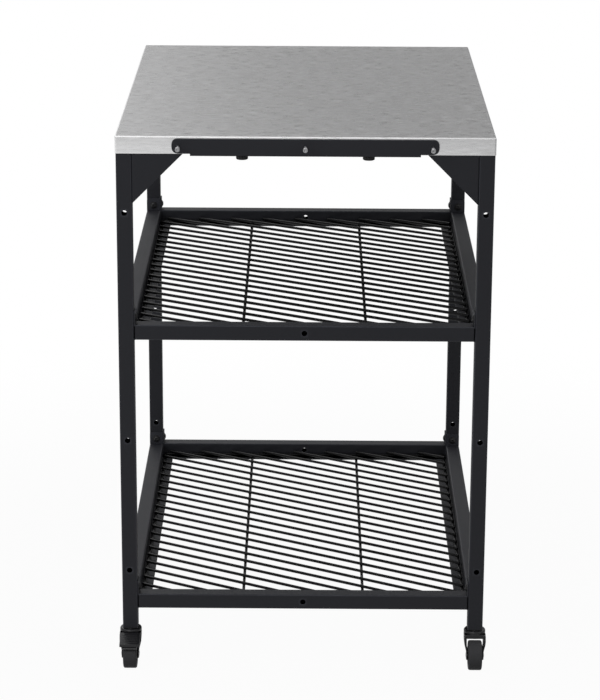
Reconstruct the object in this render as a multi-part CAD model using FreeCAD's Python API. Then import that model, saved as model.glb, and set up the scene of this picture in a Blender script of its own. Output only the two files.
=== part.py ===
import FreeCAD, Part
import math
import os

os.makedirs("parts", exist_ok=True)
Vector = FreeCAD.Vector

# Overall sizes. X runs to the right, Y to the back, Z up from the floor
top_width = 600.0
top_depth = 800.0
top_height = 900.0

# Stainless top: a folded pan over the frame
sheet = 1.0
fold_radius = 2.3
corner_radius = 1.2
skirt_overhang = 2.0

# Square tube of legs and rails
tube = 25.0
tube_wall = 1.5
tube_radius = 2.0

# Channels under the sheet
channel_width = 40.0
channel_height = 20.0
channel_wall = 1.2
channel_spacing = 260.0

# Shelves
upper_shelf_height = 566.0
lower_shelf_height = 102.0
ledge_width = 20.0
ledge_thickness = 3.0
wire_radius = 2.5
wire_pitch = 30.0
wire_angle = 30.0
wire_phase = 12.0
wire_end_gap = 1.5
shortest_wire = 30.0
rod_spacing = 200.0
border_gap = 3.5

# Corner brackets
bracket_thickness = 2.0
bracket_rise = 23.0
bracket_screw_height = 10.0
bracket_corner = 4.0

# Gussets
gusset_side = 82.0
gusset_thickness = 2.0
gusset_flange = 20.0
gusset_tip = 1.0
gusset_screw_inset = 22.0
gusset_screw_spacing = 32.0

# Accessory holes of legs and rails
hole_radius = 4.5
leg_hole_heights = (169.0, 395.0, 775.5)

# Flanged button head screws and their threaded inserts
screw_radius = 3.0
head_flange_radius = 6.8
head_flange_thickness = 1.2
head_radius = 5.25
head_height = 3.3
head_dome = ((0.86, 0.75), (0.6, 1.0))  # shares of the head's radius and height
socket_width = 4.0
socket_depth = 1.8
screw_grip = 6.5
insert_radius = 4.5
insert_length = 7.5
thread_gap = 0.05
hole_gap = 0.3

# Tool rail on the front skirt
rail_length = 421.0
rail_height = 23.5
rail_thickness = 3.0
rail_lift = 1.0
rail_top_radius = 8.5
rail_bottom_radius = 10.0
rail_flange_inset = 29.0
rail_flange_depth = 27.0
rail_bend_radius = 2.4
rail_hole_length = 4.5

# Pegs on the tool rail
peg_end_inset = 10.5
peg_length = 26.0
peg_neck_length = 2.0
peg_neck_radius = 1.7
peg_head_radius = 3.9
peg_head_length = 4.6
peg_head_edge = 1.1
peg_dimple_radius = 1.8
peg_dimple_depth = 2.6

# Thumbscrews under the tool rail
thumb_spacing = 200.0
knob_radius = 9.5
knob_height = 6.7
knob_flutes = 12
flute_radius = 1.6
flute_depth = 0.88
knob_edge = 0.6
washer_radius = 6.8
washer_thickness = 1.0
thumb_screw_length = 17.0
thumb_insert_radius = 6.0
thumb_insert_length = 10.0

# Casters
wheel_radius = 25.0
wheel_width = 22.5
wheel_edge = 3.0
wheel_recess_inner = 6.5
wheel_recess_outer = 18.0
wheel_recess_depth = 3.0
wheel_recess_slope = 0.6
caster_trail = 21.0
crown_radius = 18.0
crown_height = 12.2
crown_edge = 3.0
crown_gap = 2.3
bridge_height = 6.7
bridge_corner = 4.5
cheek_thickness = 2.7
cheek_gap = 0.45
cheek_shoulder = 34.0
cheek_overlap = 3.0
cheek_front = 18.0
cheek_rear = 5.0
hood_thickness = 4.4
hood_taper_top = 45.0
hood_foot = 0.5
axle_boss_radius = 7.5
axle_radius = 2.5
axle_head_radius = 4.5
axle_head_thickness = 0.9
running_gap = 0.08
stem_radius = 4.0
stem_length = 25.0
stem_collar_radius = 10.0
stem_collar_thickness = 1.2
stem_head_radius = 6.5
stem_rivet_radius = 3.9
stem_head_thickness = 1.5
swivel_gap = 0.3
plug_flange = 1.0
plug_depth = 26.0
plug_gap = 0.1
beyond = 100.0  # further than any piece of a caster reaches

# Brake pedal, in the caster's own frame: forward is -Y
pedal_pivot_y = -18.0
pedal_pivot_z = 46.0
pedal_pivot_radius = 1.8
pedal_pivot_boss = 3.4
pedal_width = 33.0
pedal_plate = 3.0
pedal_rear_y = -19.2
pedal_rear_z = 61.0
pedal_lip_y = -48.0
pedal_lip_z = 51.0
pedal_lip_drop = 1.6
pedal_lip_step = 1.0
pedal_arm_thickness = 1.6
pedal_arm_gap = 0.25
pedal_arm_front_y = -42.0
pedal_arm_low_y = -40.0
pedal_arm_low_z = 44.0
pedal_arm_rise = 2.0
pedal_edge = 0.7
pedal_sink = 1.5
shoe_gap = 2.5
shoe_thickness = 3.5
shoe_angle = 45.0
shoe_span = 24.0

# Places worked out from the sizes
leg_face_x = top_width / 2 - sheet
leg_face_y = top_depth / 2 - sheet
leg_x = leg_face_x - tube / 2
leg_y = leg_face_y - tube / 2
leg_inner_x = leg_face_x - tube
leg_inner_y = leg_face_y - tube
under_sheet = top_height - sheet
frame_bottom = under_sheet - tube
skirt_bottom = frame_bottom - skirt_overhang
crown_bottom = 2 * wheel_radius + crown_gap
crown_top = crown_bottom + crown_height
plug_bottom = crown_top + swivel_gap + stem_collar_thickness
leg_bottom = plug_bottom + plug_flange
flange_bottom = skirt_bottom - rail_thickness
rail_bottom = skirt_bottom + rail_lift
peg_reach = rail_length / 2 - peg_end_inset
cheek_inner = wheel_width / 2 + cheek_gap
cheek_outer = cheek_inner + cheek_thickness
hood_inner = crown_radius - hood_thickness

corners = {
    "front_left": (-1, -1),
    "front_right": (1, -1),
    "rear_left": (-1, 1),
    "rear_right": (1, 1),
}
shelves = {"upper": upper_shelf_height, "lower": lower_shelf_height}
braked = ("front_left", "rear_left")


def block(x0, x1, y0, y1, z0, z1):
    """A box between two values on each axis, in either order."""
    low = Vector(min(x0, x1), min(y0, y1), min(z0, z1))
    return Part.makeBox(abs(x1 - x0), abs(y1 - y0), abs(z1 - z0), low)


def along(shape, axis):
    """The straight edges of a shape that run along an axis."""
    found = []
    for edge in shape.Edges:
        step = edge.Vertexes[-1].Point - edge.Vertexes[0].Point
        if step.Length > 0 and abs(abs(step.dot(axis)) - step.Length) < 1e-6:
            found.append(edge)
    return found


def rounded(shape, axis, radius):
    """A box with its edges along one axis rounded."""
    return shape.makeFillet(radius, along(shape, axis))


def rod(start, end, radius):
    """A round bar from one point to another."""
    step = end - start
    return Part.makeCylinder(radius, step.Length, start, step)


def extruded(points, step):
    """A prism on a closed outline of points."""
    outline = Part.makePolygon(points + [points[0]])
    return Part.Face(outline).extrude(step)


def turned(profile):
    """A solid turned about the Z axis from points (radius, height)."""
    points = [Vector(radius, 0, height) for radius, height in profile]
    outline = Part.makePolygon(points + [points[0]])
    return Part.Face(outline).revolve(Vector(0, 0, 0), Vector(0, 0, 1), 360)


def pointed(shape, place, direction):
    """A shape built along Z at the origin, set at a place and turned to a direction."""
    copy = shape.copy()
    turn = FreeCAD.Rotation(Vector(0, 0, 1), direction)
    copy.Placement = FreeCAD.Placement(place, turn)
    return copy


def hollow_tube(x0, x1, y0, y1, z0, z1, axis):
    """A length of square tube, open at both ends."""
    outer = rounded(block(x0, x1, y0, y1, z0, z1), axis, tube_radius)
    inset = [0 if abs(value) > 0.5 else tube_wall for value in axis]
    low = Vector(min(x0, x1) + inset[0], min(y0, y1) + inset[1], min(z0, z1) + inset[2])
    high = Vector(max(x0, x1) - inset[0], max(y0, y1) - inset[1], max(z0, z1) - inset[2])
    bore = block(low.x, high.x, low.y, high.y, low.z, high.z)
    return outer.cut(bore)


def screw():
    """A screw along -Z, with its head above the origin."""
    profile = [
        (0, -screw_grip),
        (screw_radius, -screw_grip),
        (screw_radius, 0),
        (head_flange_radius, 0),
        (head_flange_radius, head_flange_thickness),
        (head_radius, head_flange_thickness),
    ]
    profile += [(head_radius * out, head_height * up) for out, up in head_dome]
    profile.append((0, head_height))
    body = turned(profile)
    radius = socket_width / math.sqrt(3)
    turns = [math.radians(60 * index) for index in range(6)]
    base = head_height - socket_depth
    points = [Vector(radius * math.cos(turn), radius * math.sin(turn), base) for turn in turns]
    return body.cut(extruded(points, Vector(0, 0, socket_depth)))


def insert():
    """A threaded insert along -Z, flush with the wall that holds it."""
    outer = Part.makeCylinder(insert_radius - thread_gap, insert_length, Vector(0, 0, -insert_length))
    bore = Part.makeCylinder(screw_radius + thread_gap, insert_length, Vector(0, 0, -insert_length))
    return outer.cut(bore)


def tabletop():
    """The stainless pan: flat sheet, rounded fold and skirt."""
    half_x = top_width / 2
    half_y = top_depth / 2
    shell = block(-half_x, half_x, -half_y, half_y, skirt_bottom, top_height)
    shell = rounded(shell, Vector(0, 0, 1), corner_radius)
    upper = [edge for edge in shell.Edges if edge.BoundBox.ZMin > top_height - 1e-6]
    shell = shell.makeFillet(fold_radius, upper)
    inner_x = half_x - sheet
    inner_y = half_y - sheet
    return shell.cut(block(-inner_x, inner_x, -inner_y, inner_y, skirt_bottom, under_sheet))


def screw_places(right, back):
    """Where screws enter one leg and the frame rail beside it: (place, outward direction)."""
    places = []
    face_x = right * leg_inner_x
    face_y = back * leg_inner_y
    for height in shelves.values():
        level = height + tube + bracket_screw_height
        places.append((Vector(face_x, back * leg_y, level), Vector(-right, 0, 0), bracket_thickness))
        places.append((Vector(right * leg_x, face_y, level), Vector(0, -back, 0), bracket_thickness))
    for index in range(2):
        reach = gusset_screw_inset + index * gusset_screw_spacing
        side = Vector(face_x, back * leg_y, frame_bottom - reach)
        below = Vector(right * (leg_inner_x - reach), back * leg_y, frame_bottom)
        places.append((side, Vector(-right, 0, 0), gusset_thickness))
        places.append((below, Vector(0, 0, -1), gusset_thickness))
    return places


def screw_holes(shape, places, radius):
    """Round holes through a shape at the screws that reach it."""
    for place, outward, grip in places:
        start = place + outward * (grip + 1)
        shape = shape.cut(rod(start, place - outward * insert_length, radius))
    return shape


def near_screws(shape, places):
    """The screws whose seats lie on a shape's box."""
    box = shape.BoundBox
    box.enlarge(0.5)
    return [item for item in places if box.isInside(item[0])]


def leg(right, back):
    """One leg: a square tube with accessory holes and holes for the inserts."""
    body = hollow_tube(
        right * leg_inner_x, right * leg_face_x, back * leg_inner_y, back * leg_face_y,
        leg_bottom, under_sheet, Vector(0, 0, 1))
    for height in leg_hole_heights:
        start = Vector(right * leg_x, back * (leg_inner_y - 1), height)
        end = Vector(right * leg_x, back * (leg_face_y + 1), height)
        body = body.cut(rod(start, end, hole_radius))
    places = [item for item in screw_places(right, back) if abs(item[1].z) < 0.5]
    return screw_holes(body, places, insert_radius)


def all_screw_places():
    """The screw places of all four corners."""
    found = []
    for right, back in corners.values():
        found += screw_places(right, back)
    return found


def frame_cross_rail(back):
    """The frame rail under the sheet at the front or the back, between two legs."""
    body = hollow_tube(
        -leg_inner_x, leg_inner_x, back * leg_inner_y, back * leg_face_y,
        frame_bottom, under_sheet, Vector(1, 0, 0))
    places = [item for item in all_screw_places() if item[1].z < -0.5]
    body = screw_holes(body, near_screws(body, places), insert_radius)
    if back < 0:
        for side in (-1, 1):
            centre = Vector(side * thumb_spacing / 2, -leg_y, frame_bottom - 1)
            body = body.cut(rod(centre, centre + Vector(0, 0, tube_wall + 2), insert_radius))
    return body


def frame_side_rail(right):
    """The frame rail under the sheet at one side, between two legs."""
    return hollow_tube(
        right * leg_inner_x, right * leg_face_x, -leg_inner_y, leg_inner_y,
        frame_bottom, under_sheet, Vector(0, 1, 0))


def channel(back):
    """A folded channel under the sheet, from side rail to side rail."""
    centre = back * channel_spacing / 2
    low = under_sheet - channel_height
    half = channel_width / 2
    outer = block(-leg_inner_x, leg_inner_x, centre - half, centre + half, low, under_sheet)
    inner_half = half - channel_wall
    inside = block(
        -leg_inner_x, leg_inner_x, centre - inner_half, centre + inner_half,
        low, under_sheet - channel_wall)
    return outer.cut(inside)


def gusset(right, back):
    """A folded corner plate: a triangle with one flange on the leg and one under the frame rail."""
    corner_x = leg_inner_x
    plane = back * leg_face_y
    step = Vector(0, -back * gusset_thickness, 0)
    points = [
        Vector(right * corner_x, plane, frame_bottom),
        Vector(right * (corner_x - gusset_side), plane, frame_bottom),
        Vector(right * (corner_x - gusset_side), plane, frame_bottom - gusset_tip),
        Vector(right * (corner_x - gusset_tip), plane, frame_bottom - gusset_side),
        Vector(right * corner_x, plane, frame_bottom - gusset_side),
    ]
    plate = extruded(points, step)
    depth = back * (leg_face_y - gusset_thickness - gusset_flange)
    on_leg = block(
        right * corner_x, right * (corner_x - gusset_thickness), plane, depth,
        frame_bottom - gusset_side, frame_bottom)
    under_rail = block(
        right * corner_x, right * (corner_x - gusset_side), plane, depth,
        frame_bottom - gusset_thickness, frame_bottom)
    body = plate.fuse([on_leg, under_rail]).removeSplitter()
    body = body.common(extruded(points, Vector(0, depth - plane, 0)))
    places = screw_places(right, back)[4:]
    return screw_holes(body, places, screw_radius + hole_gap)


def shelf_cross_rail(height, back):
    """The front or back rail of a shelf: tube, ledge and a hole at its middle."""
    end = leg_inner_x - bracket_thickness
    end_y = leg_inner_y - bracket_thickness
    body = hollow_tube(
        -end, end, back * leg_inner_y, back * leg_face_y, height, height + tube, Vector(1, 0, 0))
    ledge = block(
        -end, end, back * (leg_inner_y + tube_radius), back * (leg_inner_y - ledge_width),
        height, height + ledge_thickness)
    tips = block(
        -leg_inner_x, leg_inner_x, back * end_y, back * (leg_inner_y - ledge_width),
        height, height + ledge_thickness)
    body = body.fuse([ledge, tips]).removeSplitter()
    middle = height + tube / 2
    start = Vector(0, back * (leg_inner_y - 1), middle)
    return body.cut(rod(start, Vector(0, back * (leg_face_y + 1), middle), hole_radius))


def shelf_side_rail(height, right):
    """The left or right rail of a shelf: tube and ledge."""
    end = leg_inner_y - bracket_thickness
    body = hollow_tube(
        right * leg_inner_x, right * leg_face_x, -end, end, height, height + tube, Vector(0, 1, 0))
    reach = leg_inner_y - ledge_width
    ledge = block(
        right * (leg_inner_x + tube_radius), right * (leg_inner_x - ledge_width), -reach, reach,
        height, height + ledge_thickness)
    return body.fuse(ledge)


def corner_bracket(height, right, back):
    """An angle plate round the inner corner of a leg, which a shelf's rails end on."""
    top = height + tube + bracket_rise
    on_x = block(
        right * leg_inner_x, right * (leg_inner_x - bracket_thickness),
        back * leg_face_y, back * (leg_inner_y - bracket_thickness), height, top)
    on_y = block(
        right * leg_face_x, right * (leg_inner_x - bracket_thickness),
        back * leg_inner_y, back * (leg_inner_y - bracket_thickness), height, top)
    corner_x = [edge for edge in along(on_x, Vector(1, 0, 0))
                if edge.BoundBox.ZMin > top - 1 and abs(edge.CenterOfMass.y) > leg_y]
    on_x = on_x.makeFillet(bracket_corner, corner_x)
    corner_y = [edge for edge in along(on_y, Vector(0, 1, 0))
                if edge.BoundBox.ZMin > top - 1 and abs(edge.CenterOfMass.x) > leg_x]
    on_y = on_y.makeFillet(bracket_corner, corner_y)
    body = on_x.fuse(on_y).removeSplitter()
    index = list(shelves.values()).index(height)
    places = screw_places(right, back)[2 * index:2 * index + 2]
    return screw_holes(body, places, screw_radius + hole_gap)


def clipped_line(offset, half_x, half_y):
    """The ends of a slanted line inside a rectangle, or None where it misses it."""
    turn = math.radians(wire_angle)
    along_x = math.cos(turn)
    along_y = -math.sin(turn)
    base = Vector(offset * math.sin(turn), offset * math.cos(turn), 0)
    low_x, high_x = sorted(((-half_x - base.x) / along_x, (half_x - base.x) / along_x))
    low_y, high_y = sorted(((-half_y - base.y) / along_y, (half_y - base.y) / along_y))
    low = max(low_x, low_y)
    high = min(high_x, high_y)
    if high - low < shortest_wire:
        return None
    direction = Vector(along_x, along_y, 0)
    return base + direction * low, base + direction * high


def rack_rods(level):
    """The rods under the wires: a border of four round the rack and two across it."""
    border_x = leg_inner_x - border_gap - wire_radius
    border_y = leg_inner_y - border_gap - wire_radius
    lines = []
    for side in (-1, 1):
        lines.append((side * border_x, border_y + wire_radius, Vector(0, 1, 0)))
        lines.append((side * rod_spacing / 2, border_y - wire_radius, Vector(0, 1, 0)))
        lines.append((side * border_y, border_x - wire_radius, Vector(1, 0, 0)))
    pieces = []
    for offset, half, way in lines:
        middle = Vector(offset * way.y, offset * way.x, level)
        pieces.append(rod(middle - way * half, middle + way * half, wire_radius))
    return pieces


def rack(height):
    """The slanted wires of a shelf, over rods that rest on the ledges."""
    seat = height + ledge_thickness
    half_x = leg_inner_x - wire_end_gap - wire_radius
    half_y = leg_inner_y - wire_end_gap - wire_radius
    reach = math.hypot(half_x, half_y)
    count = int(reach / wire_pitch) + 1
    lift = Vector(0, 0, seat + 3 * wire_radius)
    pieces = rack_rods(seat + wire_radius)
    for index in range(-count, count + 1):
        offset = index * wire_pitch + wire_phase * math.cos(math.radians(wire_angle))
        ends = clipped_line(offset, half_x, half_y)
        if ends:
            pieces.append(rod(ends[0] + lift, ends[1] + lift, wire_radius))
    return Part.makeCompound(pieces)


def tool_rail():
    """The black rail on the front skirt, with a flange folded back under the skirt."""
    back = -top_depth / 2
    front = back - rail_thickness
    half = rail_length / 2
    top = rail_bottom + rail_height
    plate = block(-half, half, front, back, rail_bottom, top)
    upper = [edge for edge in along(plate, Vector(0, 1, 0)) if edge.CenterOfMass.z > top - 1]
    plate = plate.makeFillet(rail_top_radius, upper)
    lower = [edge for edge in along(plate, Vector(0, 1, 0)) if edge.CenterOfMass.z < rail_bottom + 1]
    plate = plate.makeFillet(rail_bottom_radius, lower)
    reach = half - rail_flange_inset
    fold = block(-reach, reach, front, front + rail_flange_depth, flange_bottom, top - rail_top_radius)
    fold = fold.cut(block(-reach, reach, back, back + rail_flange_depth, skirt_bottom, top))
    bend = [edge for edge in along(fold, Vector(1, 0, 0))
            if edge.CenterOfMass.z < flange_bottom + 0.1 and edge.CenterOfMass.y < front + 0.1]
    fold = fold.makeFillet(rail_bend_radius, bend)
    body = plate.fuse(fold).removeSplitter()
    for index in (-1, 0, 1):
        start = Vector(index * peg_reach, back + 1, rail_bottom + rail_height / 2)
        body = body.cut(rod(start, start - Vector(0, rail_thickness + 2, 0), peg_neck_radius))
    for side in (-1, 1):
        start = Vector(side * thumb_spacing / 2, -leg_y, flange_bottom - 1)
        body = body.cut(rod(start, start + Vector(0, 0, rail_hole_length), screw_radius + hole_gap))
    return body


def peg():
    """A turned peg along Z: a riveted root, a neck and a flared head with a dimple."""
    head_start = peg_length - peg_head_length
    profile = [
        (0, -rail_thickness),
        (peg_neck_radius, -rail_thickness),
        (peg_neck_radius, peg_neck_length),
        (peg_head_radius, head_start),
        (peg_head_radius, peg_length - peg_head_edge),
        (peg_head_radius - peg_head_edge, peg_length),
        (peg_dimple_radius, peg_length),
        (0, peg_length - peg_dimple_depth),
    ]
    return turned(profile)


def pegs():
    """The three pegs of the tool rail."""
    front = -top_depth / 2 - rail_thickness
    level = rail_bottom + rail_height / 2
    places = [Vector(index * peg_reach, front, level) for index in (-1, 0, 1)]
    return Part.makeCompound([pointed(peg(), place, Vector(0, -1, 0)) for place in places])


def thumbscrew(side):
    """A fluted knob on a threaded shank that goes up into the frame rail."""
    knob_top = flange_bottom - washer_thickness
    centre = Vector(side * thumb_spacing / 2, -leg_y, knob_top - knob_height)
    knob = Part.makeCylinder(knob_radius, knob_height, centre)
    for index in range(knob_flutes):
        turn = 2 * math.pi * index / knob_flutes
        reach = knob_radius + flute_radius - flute_depth
        place = centre + Vector(reach * math.cos(turn), reach * math.sin(turn), 0)
        knob = knob.cut(Part.makeCylinder(flute_radius, knob_height, place))
    lower = [edge for edge in knob.Edges if edge.BoundBox.ZMax < centre.z + 0.01]
    knob = knob.makeChamfer(knob_edge, lower)
    start = Vector(centre.x, centre.y, knob_top)
    return knob.fuse(rod(start, start + Vector(0, 0, thumb_screw_length), screw_radius))


def thumb_washer(side):
    """The washer that stays on a thumbscrew, between its knob and the flange."""
    base = Vector(side * thumb_spacing / 2, -leg_y, flange_bottom - washer_thickness)
    ring = Part.makeCylinder(washer_radius, washer_thickness, base)
    return ring.cut(Part.makeCylinder(screw_radius + hole_gap, washer_thickness, base))


def thumb_inserts():
    """The two flanged inserts in the front frame rail that the thumbscrews turn in."""
    pieces = []
    for side in (-1, 1):
        base = Vector(side * thumb_spacing / 2, -leg_y, skirt_bottom)
        flange = Part.makeCylinder(thumb_insert_radius, skirt_overhang, base)
        sleeve = Part.makeCylinder(
            insert_radius - thread_gap, skirt_overhang + thumb_insert_length, base)
        bore = Part.makeCylinder(
            screw_radius + thread_gap, skirt_overhang + thumb_insert_length, base)
        pieces.append(flange.fuse(sleeve).cut(bore))
    return Part.makeCompound(pieces)


def leg_plugs():
    """The plugs in the feet of the legs, bored for the casters' stems."""
    pieces = []
    for right, back in corners.values():
        flange = rounded(
            block(right * leg_inner_x, right * leg_face_x, back * leg_inner_y, back * leg_face_y,
                  plug_bottom, leg_bottom), Vector(0, 0, 1), tube_radius)
        half = tube / 2 - tube_wall - plug_gap
        body = block(
            right * leg_x - half, right * leg_x + half, back * leg_y - half, back * leg_y + half,
            plug_bottom, plug_bottom + plug_depth)
        base = Vector(right * leg_x, back * leg_y, plug_bottom)
        bore = Part.makeCylinder(stem_radius + thread_gap, plug_depth, base)
        pieces.append(flange.fuse(body).removeSplitter().cut(bore))
    return Part.makeCompound(pieces)


def stem():
    """A caster's stem along Z at the origin: thread, collar, swivel pin and riveted end."""
    collar_bottom = plug_bottom - stem_collar_thickness
    head_top = crown_bottom - swivel_gap
    profile = [
        (0, plug_bottom + stem_length),
        (stem_radius, plug_bottom + stem_length),
        (stem_radius, plug_bottom),
        (stem_collar_radius, plug_bottom),
        (stem_collar_radius, collar_bottom),
        (stem_radius, collar_bottom),
        (stem_radius, head_top),
        (stem_head_radius, head_top),
        (stem_head_radius, head_top - stem_head_thickness / 2),
        (stem_rivet_radius, head_top - stem_head_thickness),
        (0, head_top - stem_head_thickness),
    ]
    return turned(profile)


def cheek_outline(x, low):
    """The side view of a fork's cheek, cut off below a height."""
    boss_y = -caster_trail
    top = crown_bottom + crown_height / 2
    share = (low - wheel_radius) / (top - wheel_radius)
    front = boss_y - axle_boss_radius
    front += share * (-cheek_front - front)
    rear = boss_y + axle_boss_radius
    rear += share * (cheek_rear - rear)
    upper = [Vector(x, cheek_rear, top), Vector(x, -cheek_front, top)]
    return upper + [Vector(x, front, low), Vector(x, rear, low)]


def hood(side):
    """The upper part of a cheek, flush with the crown's side and drawn in towards its foot."""
    plate = extruded(cheek_outline(side * hood_inner, cheek_shoulder), Vector(side * hood_thickness, 0, 0))
    foot = side * (cheek_outer + hood_foot)
    waste = [
        Vector(side * crown_radius, -beyond, hood_taper_top),
        Vector(side * beyond, -beyond, hood_taper_top),
        Vector(side * beyond, -beyond, cheek_shoulder),
        Vector(foot, -beyond, cheek_shoulder),
    ]
    return plate.cut(extruded(waste, Vector(0, 2 * beyond, 0)))


def fork():
    """A caster's fork: crown, bridge over the wheel, hoods and slimmer cheeks to the axle."""
    crown = Part.makeCylinder(crown_radius, crown_height, Vector(0, 0, crown_bottom))
    rim = [edge for edge in crown.Edges if edge.BoundBox.ZMin > crown_top - 1e-6]
    crown = crown.makeFillet(crown_edge, rim)
    bridge = block(
        -crown_radius, crown_radius, -cheek_front, 0, crown_bottom, crown_bottom + bridge_height)
    front = [edge for edge in along(bridge, Vector(0, 0, 1)) if edge.CenterOfMass.y < -1]
    pieces = [bridge.makeFillet(bridge_corner, front)]
    for side in (-1, 1):
        leg_points = cheek_outline(side * cheek_inner, wheel_radius)
        cheek = extruded(leg_points, Vector(side * cheek_thickness, 0, 0))
        cutoff = cheek_shoulder + cheek_overlap
        cheek = cheek.cut(block(-beyond, beyond, -beyond, beyond, cutoff, beyond))
        boss_start = Vector(side * cheek_inner, -caster_trail, wheel_radius)
        boss = rod(boss_start, boss_start + Vector(side * cheek_thickness, 0, 0), axle_boss_radius)
        pieces += [hood(side), cheek, boss]
    body = crown.fuse(pieces).removeSplitter()
    body = body.cut(rod(Vector(0, 0, 0), Vector(0, 0, beyond), stem_radius + running_gap))
    start = Vector(-beyond, -caster_trail, wheel_radius)
    return body.cut(rod(start, start + Vector(2 * beyond, 0, 0), axle_radius))


def braked_fork():
    """A fork with the two holes that hold the brake pedal's pivots."""
    start = Vector(-beyond, pedal_pivot_y, pedal_pivot_z)
    end = Vector(beyond, pedal_pivot_y, pedal_pivot_z)
    return fork().cut(rod(start, end, pedal_pivot_radius + running_gap))


def wheel():
    """A moulded wheel about the X axis, with rounded edges and a recess in each side."""
    half = wheel_width / 2
    bore = axle_radius + running_gap
    edge = wheel_edge
    bevel = edge * (1 - math.sqrt(0.5))
    right_side = [
        (bore, half),
        (wheel_recess_inner, half),
        (wheel_recess_inner + wheel_recess_slope, half - wheel_recess_depth),
        (wheel_recess_outer - wheel_recess_slope, half - wheel_recess_depth),
        (wheel_recess_outer, half),
        (wheel_radius - edge, half),
        (wheel_radius - bevel, half - bevel),
        (wheel_radius, half - edge),
    ]
    left_side = [(radius, -height) for radius, height in reversed(right_side)]
    body = turned(right_side + left_side)
    return pointed(body, Vector(0, -caster_trail, wheel_radius), Vector(1, 0, 0))


def axle():
    """A riveted axle through fork and wheel, along X."""
    reach = cheek_outer + axle_head_thickness
    profile = [
        (0, -reach),
        (axle_head_radius - axle_head_thickness, -reach),
        (axle_head_radius, -reach + axle_head_thickness / 2),
        (axle_head_radius, -cheek_outer),
        (axle_radius, -cheek_outer),
        (axle_radius, cheek_outer),
        (axle_head_radius, cheek_outer),
        (axle_head_radius, reach - axle_head_thickness / 2),
        (axle_head_radius - axle_head_thickness, reach),
        (0, reach),
    ]
    return pointed(turned(profile), Vector(0, -caster_trail, wheel_radius), Vector(1, 0, 0))


def pedal():
    """The brake pedal: a sloping plate with a lip, two arms with pivots and a brake shoe."""
    half = pedal_width / 2
    side_view = [
        Vector(-half, pedal_rear_y, pedal_rear_z),
        Vector(-half, pedal_lip_y, pedal_lip_z),
        Vector(-half, pedal_lip_y, pedal_lip_z - pedal_plate - pedal_lip_drop),
        Vector(-half, pedal_lip_y + pedal_plate, pedal_lip_z - pedal_plate - pedal_lip_drop),
        Vector(-half, pedal_lip_y + pedal_plate, pedal_lip_z - pedal_plate + pedal_lip_step),
        Vector(-half, pedal_rear_y, pedal_rear_z - pedal_plate),
    ]
    plate = extruded(side_view, Vector(pedal_width, 0, 0))
    plate = rounded(plate, Vector(1, 0, 0), pedal_edge)
    arm_outer = hood_inner - pedal_arm_gap
    arm_inner = arm_outer - pedal_arm_thickness
    pieces = []
    for side in (-1, 1):
        x = side * arm_inner
        outline = [
            Vector(x, pedal_rear_y, pedal_rear_z - pedal_sink),
            Vector(x, pedal_arm_front_y, pedal_lip_z),
            Vector(x, pedal_arm_low_y, pedal_arm_low_z),
            Vector(x, pedal_pivot_y, pedal_pivot_z - pedal_pivot_boss),
            Vector(x, pedal_pivot_y, pedal_pivot_z + pedal_pivot_boss),
            Vector(x, pedal_rear_y, pedal_pivot_z + pedal_pivot_boss + pedal_arm_rise),
        ]
        arm = extruded(outline, Vector(side * pedal_arm_thickness, 0, 0))
        pivot = Vector(x, pedal_pivot_y, pedal_pivot_z)
        boss = rod(pivot, pivot + Vector(side * pedal_arm_thickness, 0, 0), pedal_pivot_boss)
        pin = rod(pivot, Vector(side * crown_radius, pedal_pivot_y, pedal_pivot_z), pedal_pivot_radius)
        pieces += [arm, boss, pin]
    pieces.append(brake_shoe(arm_inner))
    return plate.fuse(pieces).removeSplitter()


def brake_shoe(half_width):
    """The part of a ring round the wheel that a pressed pedal brings near the tread."""
    centre = Vector(-half_width, -caster_trail, wheel_radius)
    inner = wheel_radius + shoe_gap
    outer = inner + shoe_thickness
    ring = rod(centre, centre + Vector(2 * half_width, 0, 0), outer)
    ring = ring.cut(rod(centre, centre + Vector(2 * half_width, 0, 0), inner))
    far = 2 * outer
    points = [centre]
    for turn in (shoe_angle - shoe_span / 2, shoe_angle + shoe_span / 2):
        angle = math.radians(turn)
        points.append(centre + Vector(0, -far * math.cos(angle), far * math.sin(angle)))
    return ring.common(extruded(points, Vector(2 * half_width, 0, 0)))


def set_caster(shape, right, back):
    """A caster piece moved under its leg, trailing away from the middle of the table."""
    copy = shape.copy()
    turn = FreeCAD.Rotation(Vector(0, 0, 1), 180 if back > 0 else 0)
    copy.Placement = FreeCAD.Placement(Vector(right * leg_x, back * leg_y, 0), turn).multiply(copy.Placement)
    return copy


def frame_nodes():
    """The top, its frame, the legs and the gussets."""
    nodes = {
        "tabletop": tabletop(),
        "top_frame_front_rail": frame_cross_rail(-1),
        "top_frame_rear_rail": frame_cross_rail(1),
        "top_frame_left_rail": frame_side_rail(-1),
        "top_frame_right_rail": frame_side_rail(1),
        "sheet_channel_front": channel(-1),
        "sheet_channel_rear": channel(1),
        "leg_plugs": leg_plugs(),
    }
    for name, (right, back) in corners.items():
        nodes["leg_" + name] = leg(right, back)
        nodes["gusset_" + name] = gusset(right, back)
    return nodes


def shelf_nodes():
    """The rails, brackets and racks of both shelves."""
    nodes = {}
    for level, height in shelves.items():
        nodes[level + "_shelf_front_rail"] = shelf_cross_rail(height, -1)
        nodes[level + "_shelf_rear_rail"] = shelf_cross_rail(height, 1)
        nodes[level + "_shelf_left_rail"] = shelf_side_rail(height, -1)
        nodes[level + "_shelf_right_rail"] = shelf_side_rail(height, 1)
        nodes[level + "_shelf_rack"] = rack(height)
        for name, (right, back) in corners.items():
            nodes[level + "_bracket_" + name] = corner_bracket(height, right, back)
    return nodes


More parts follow.
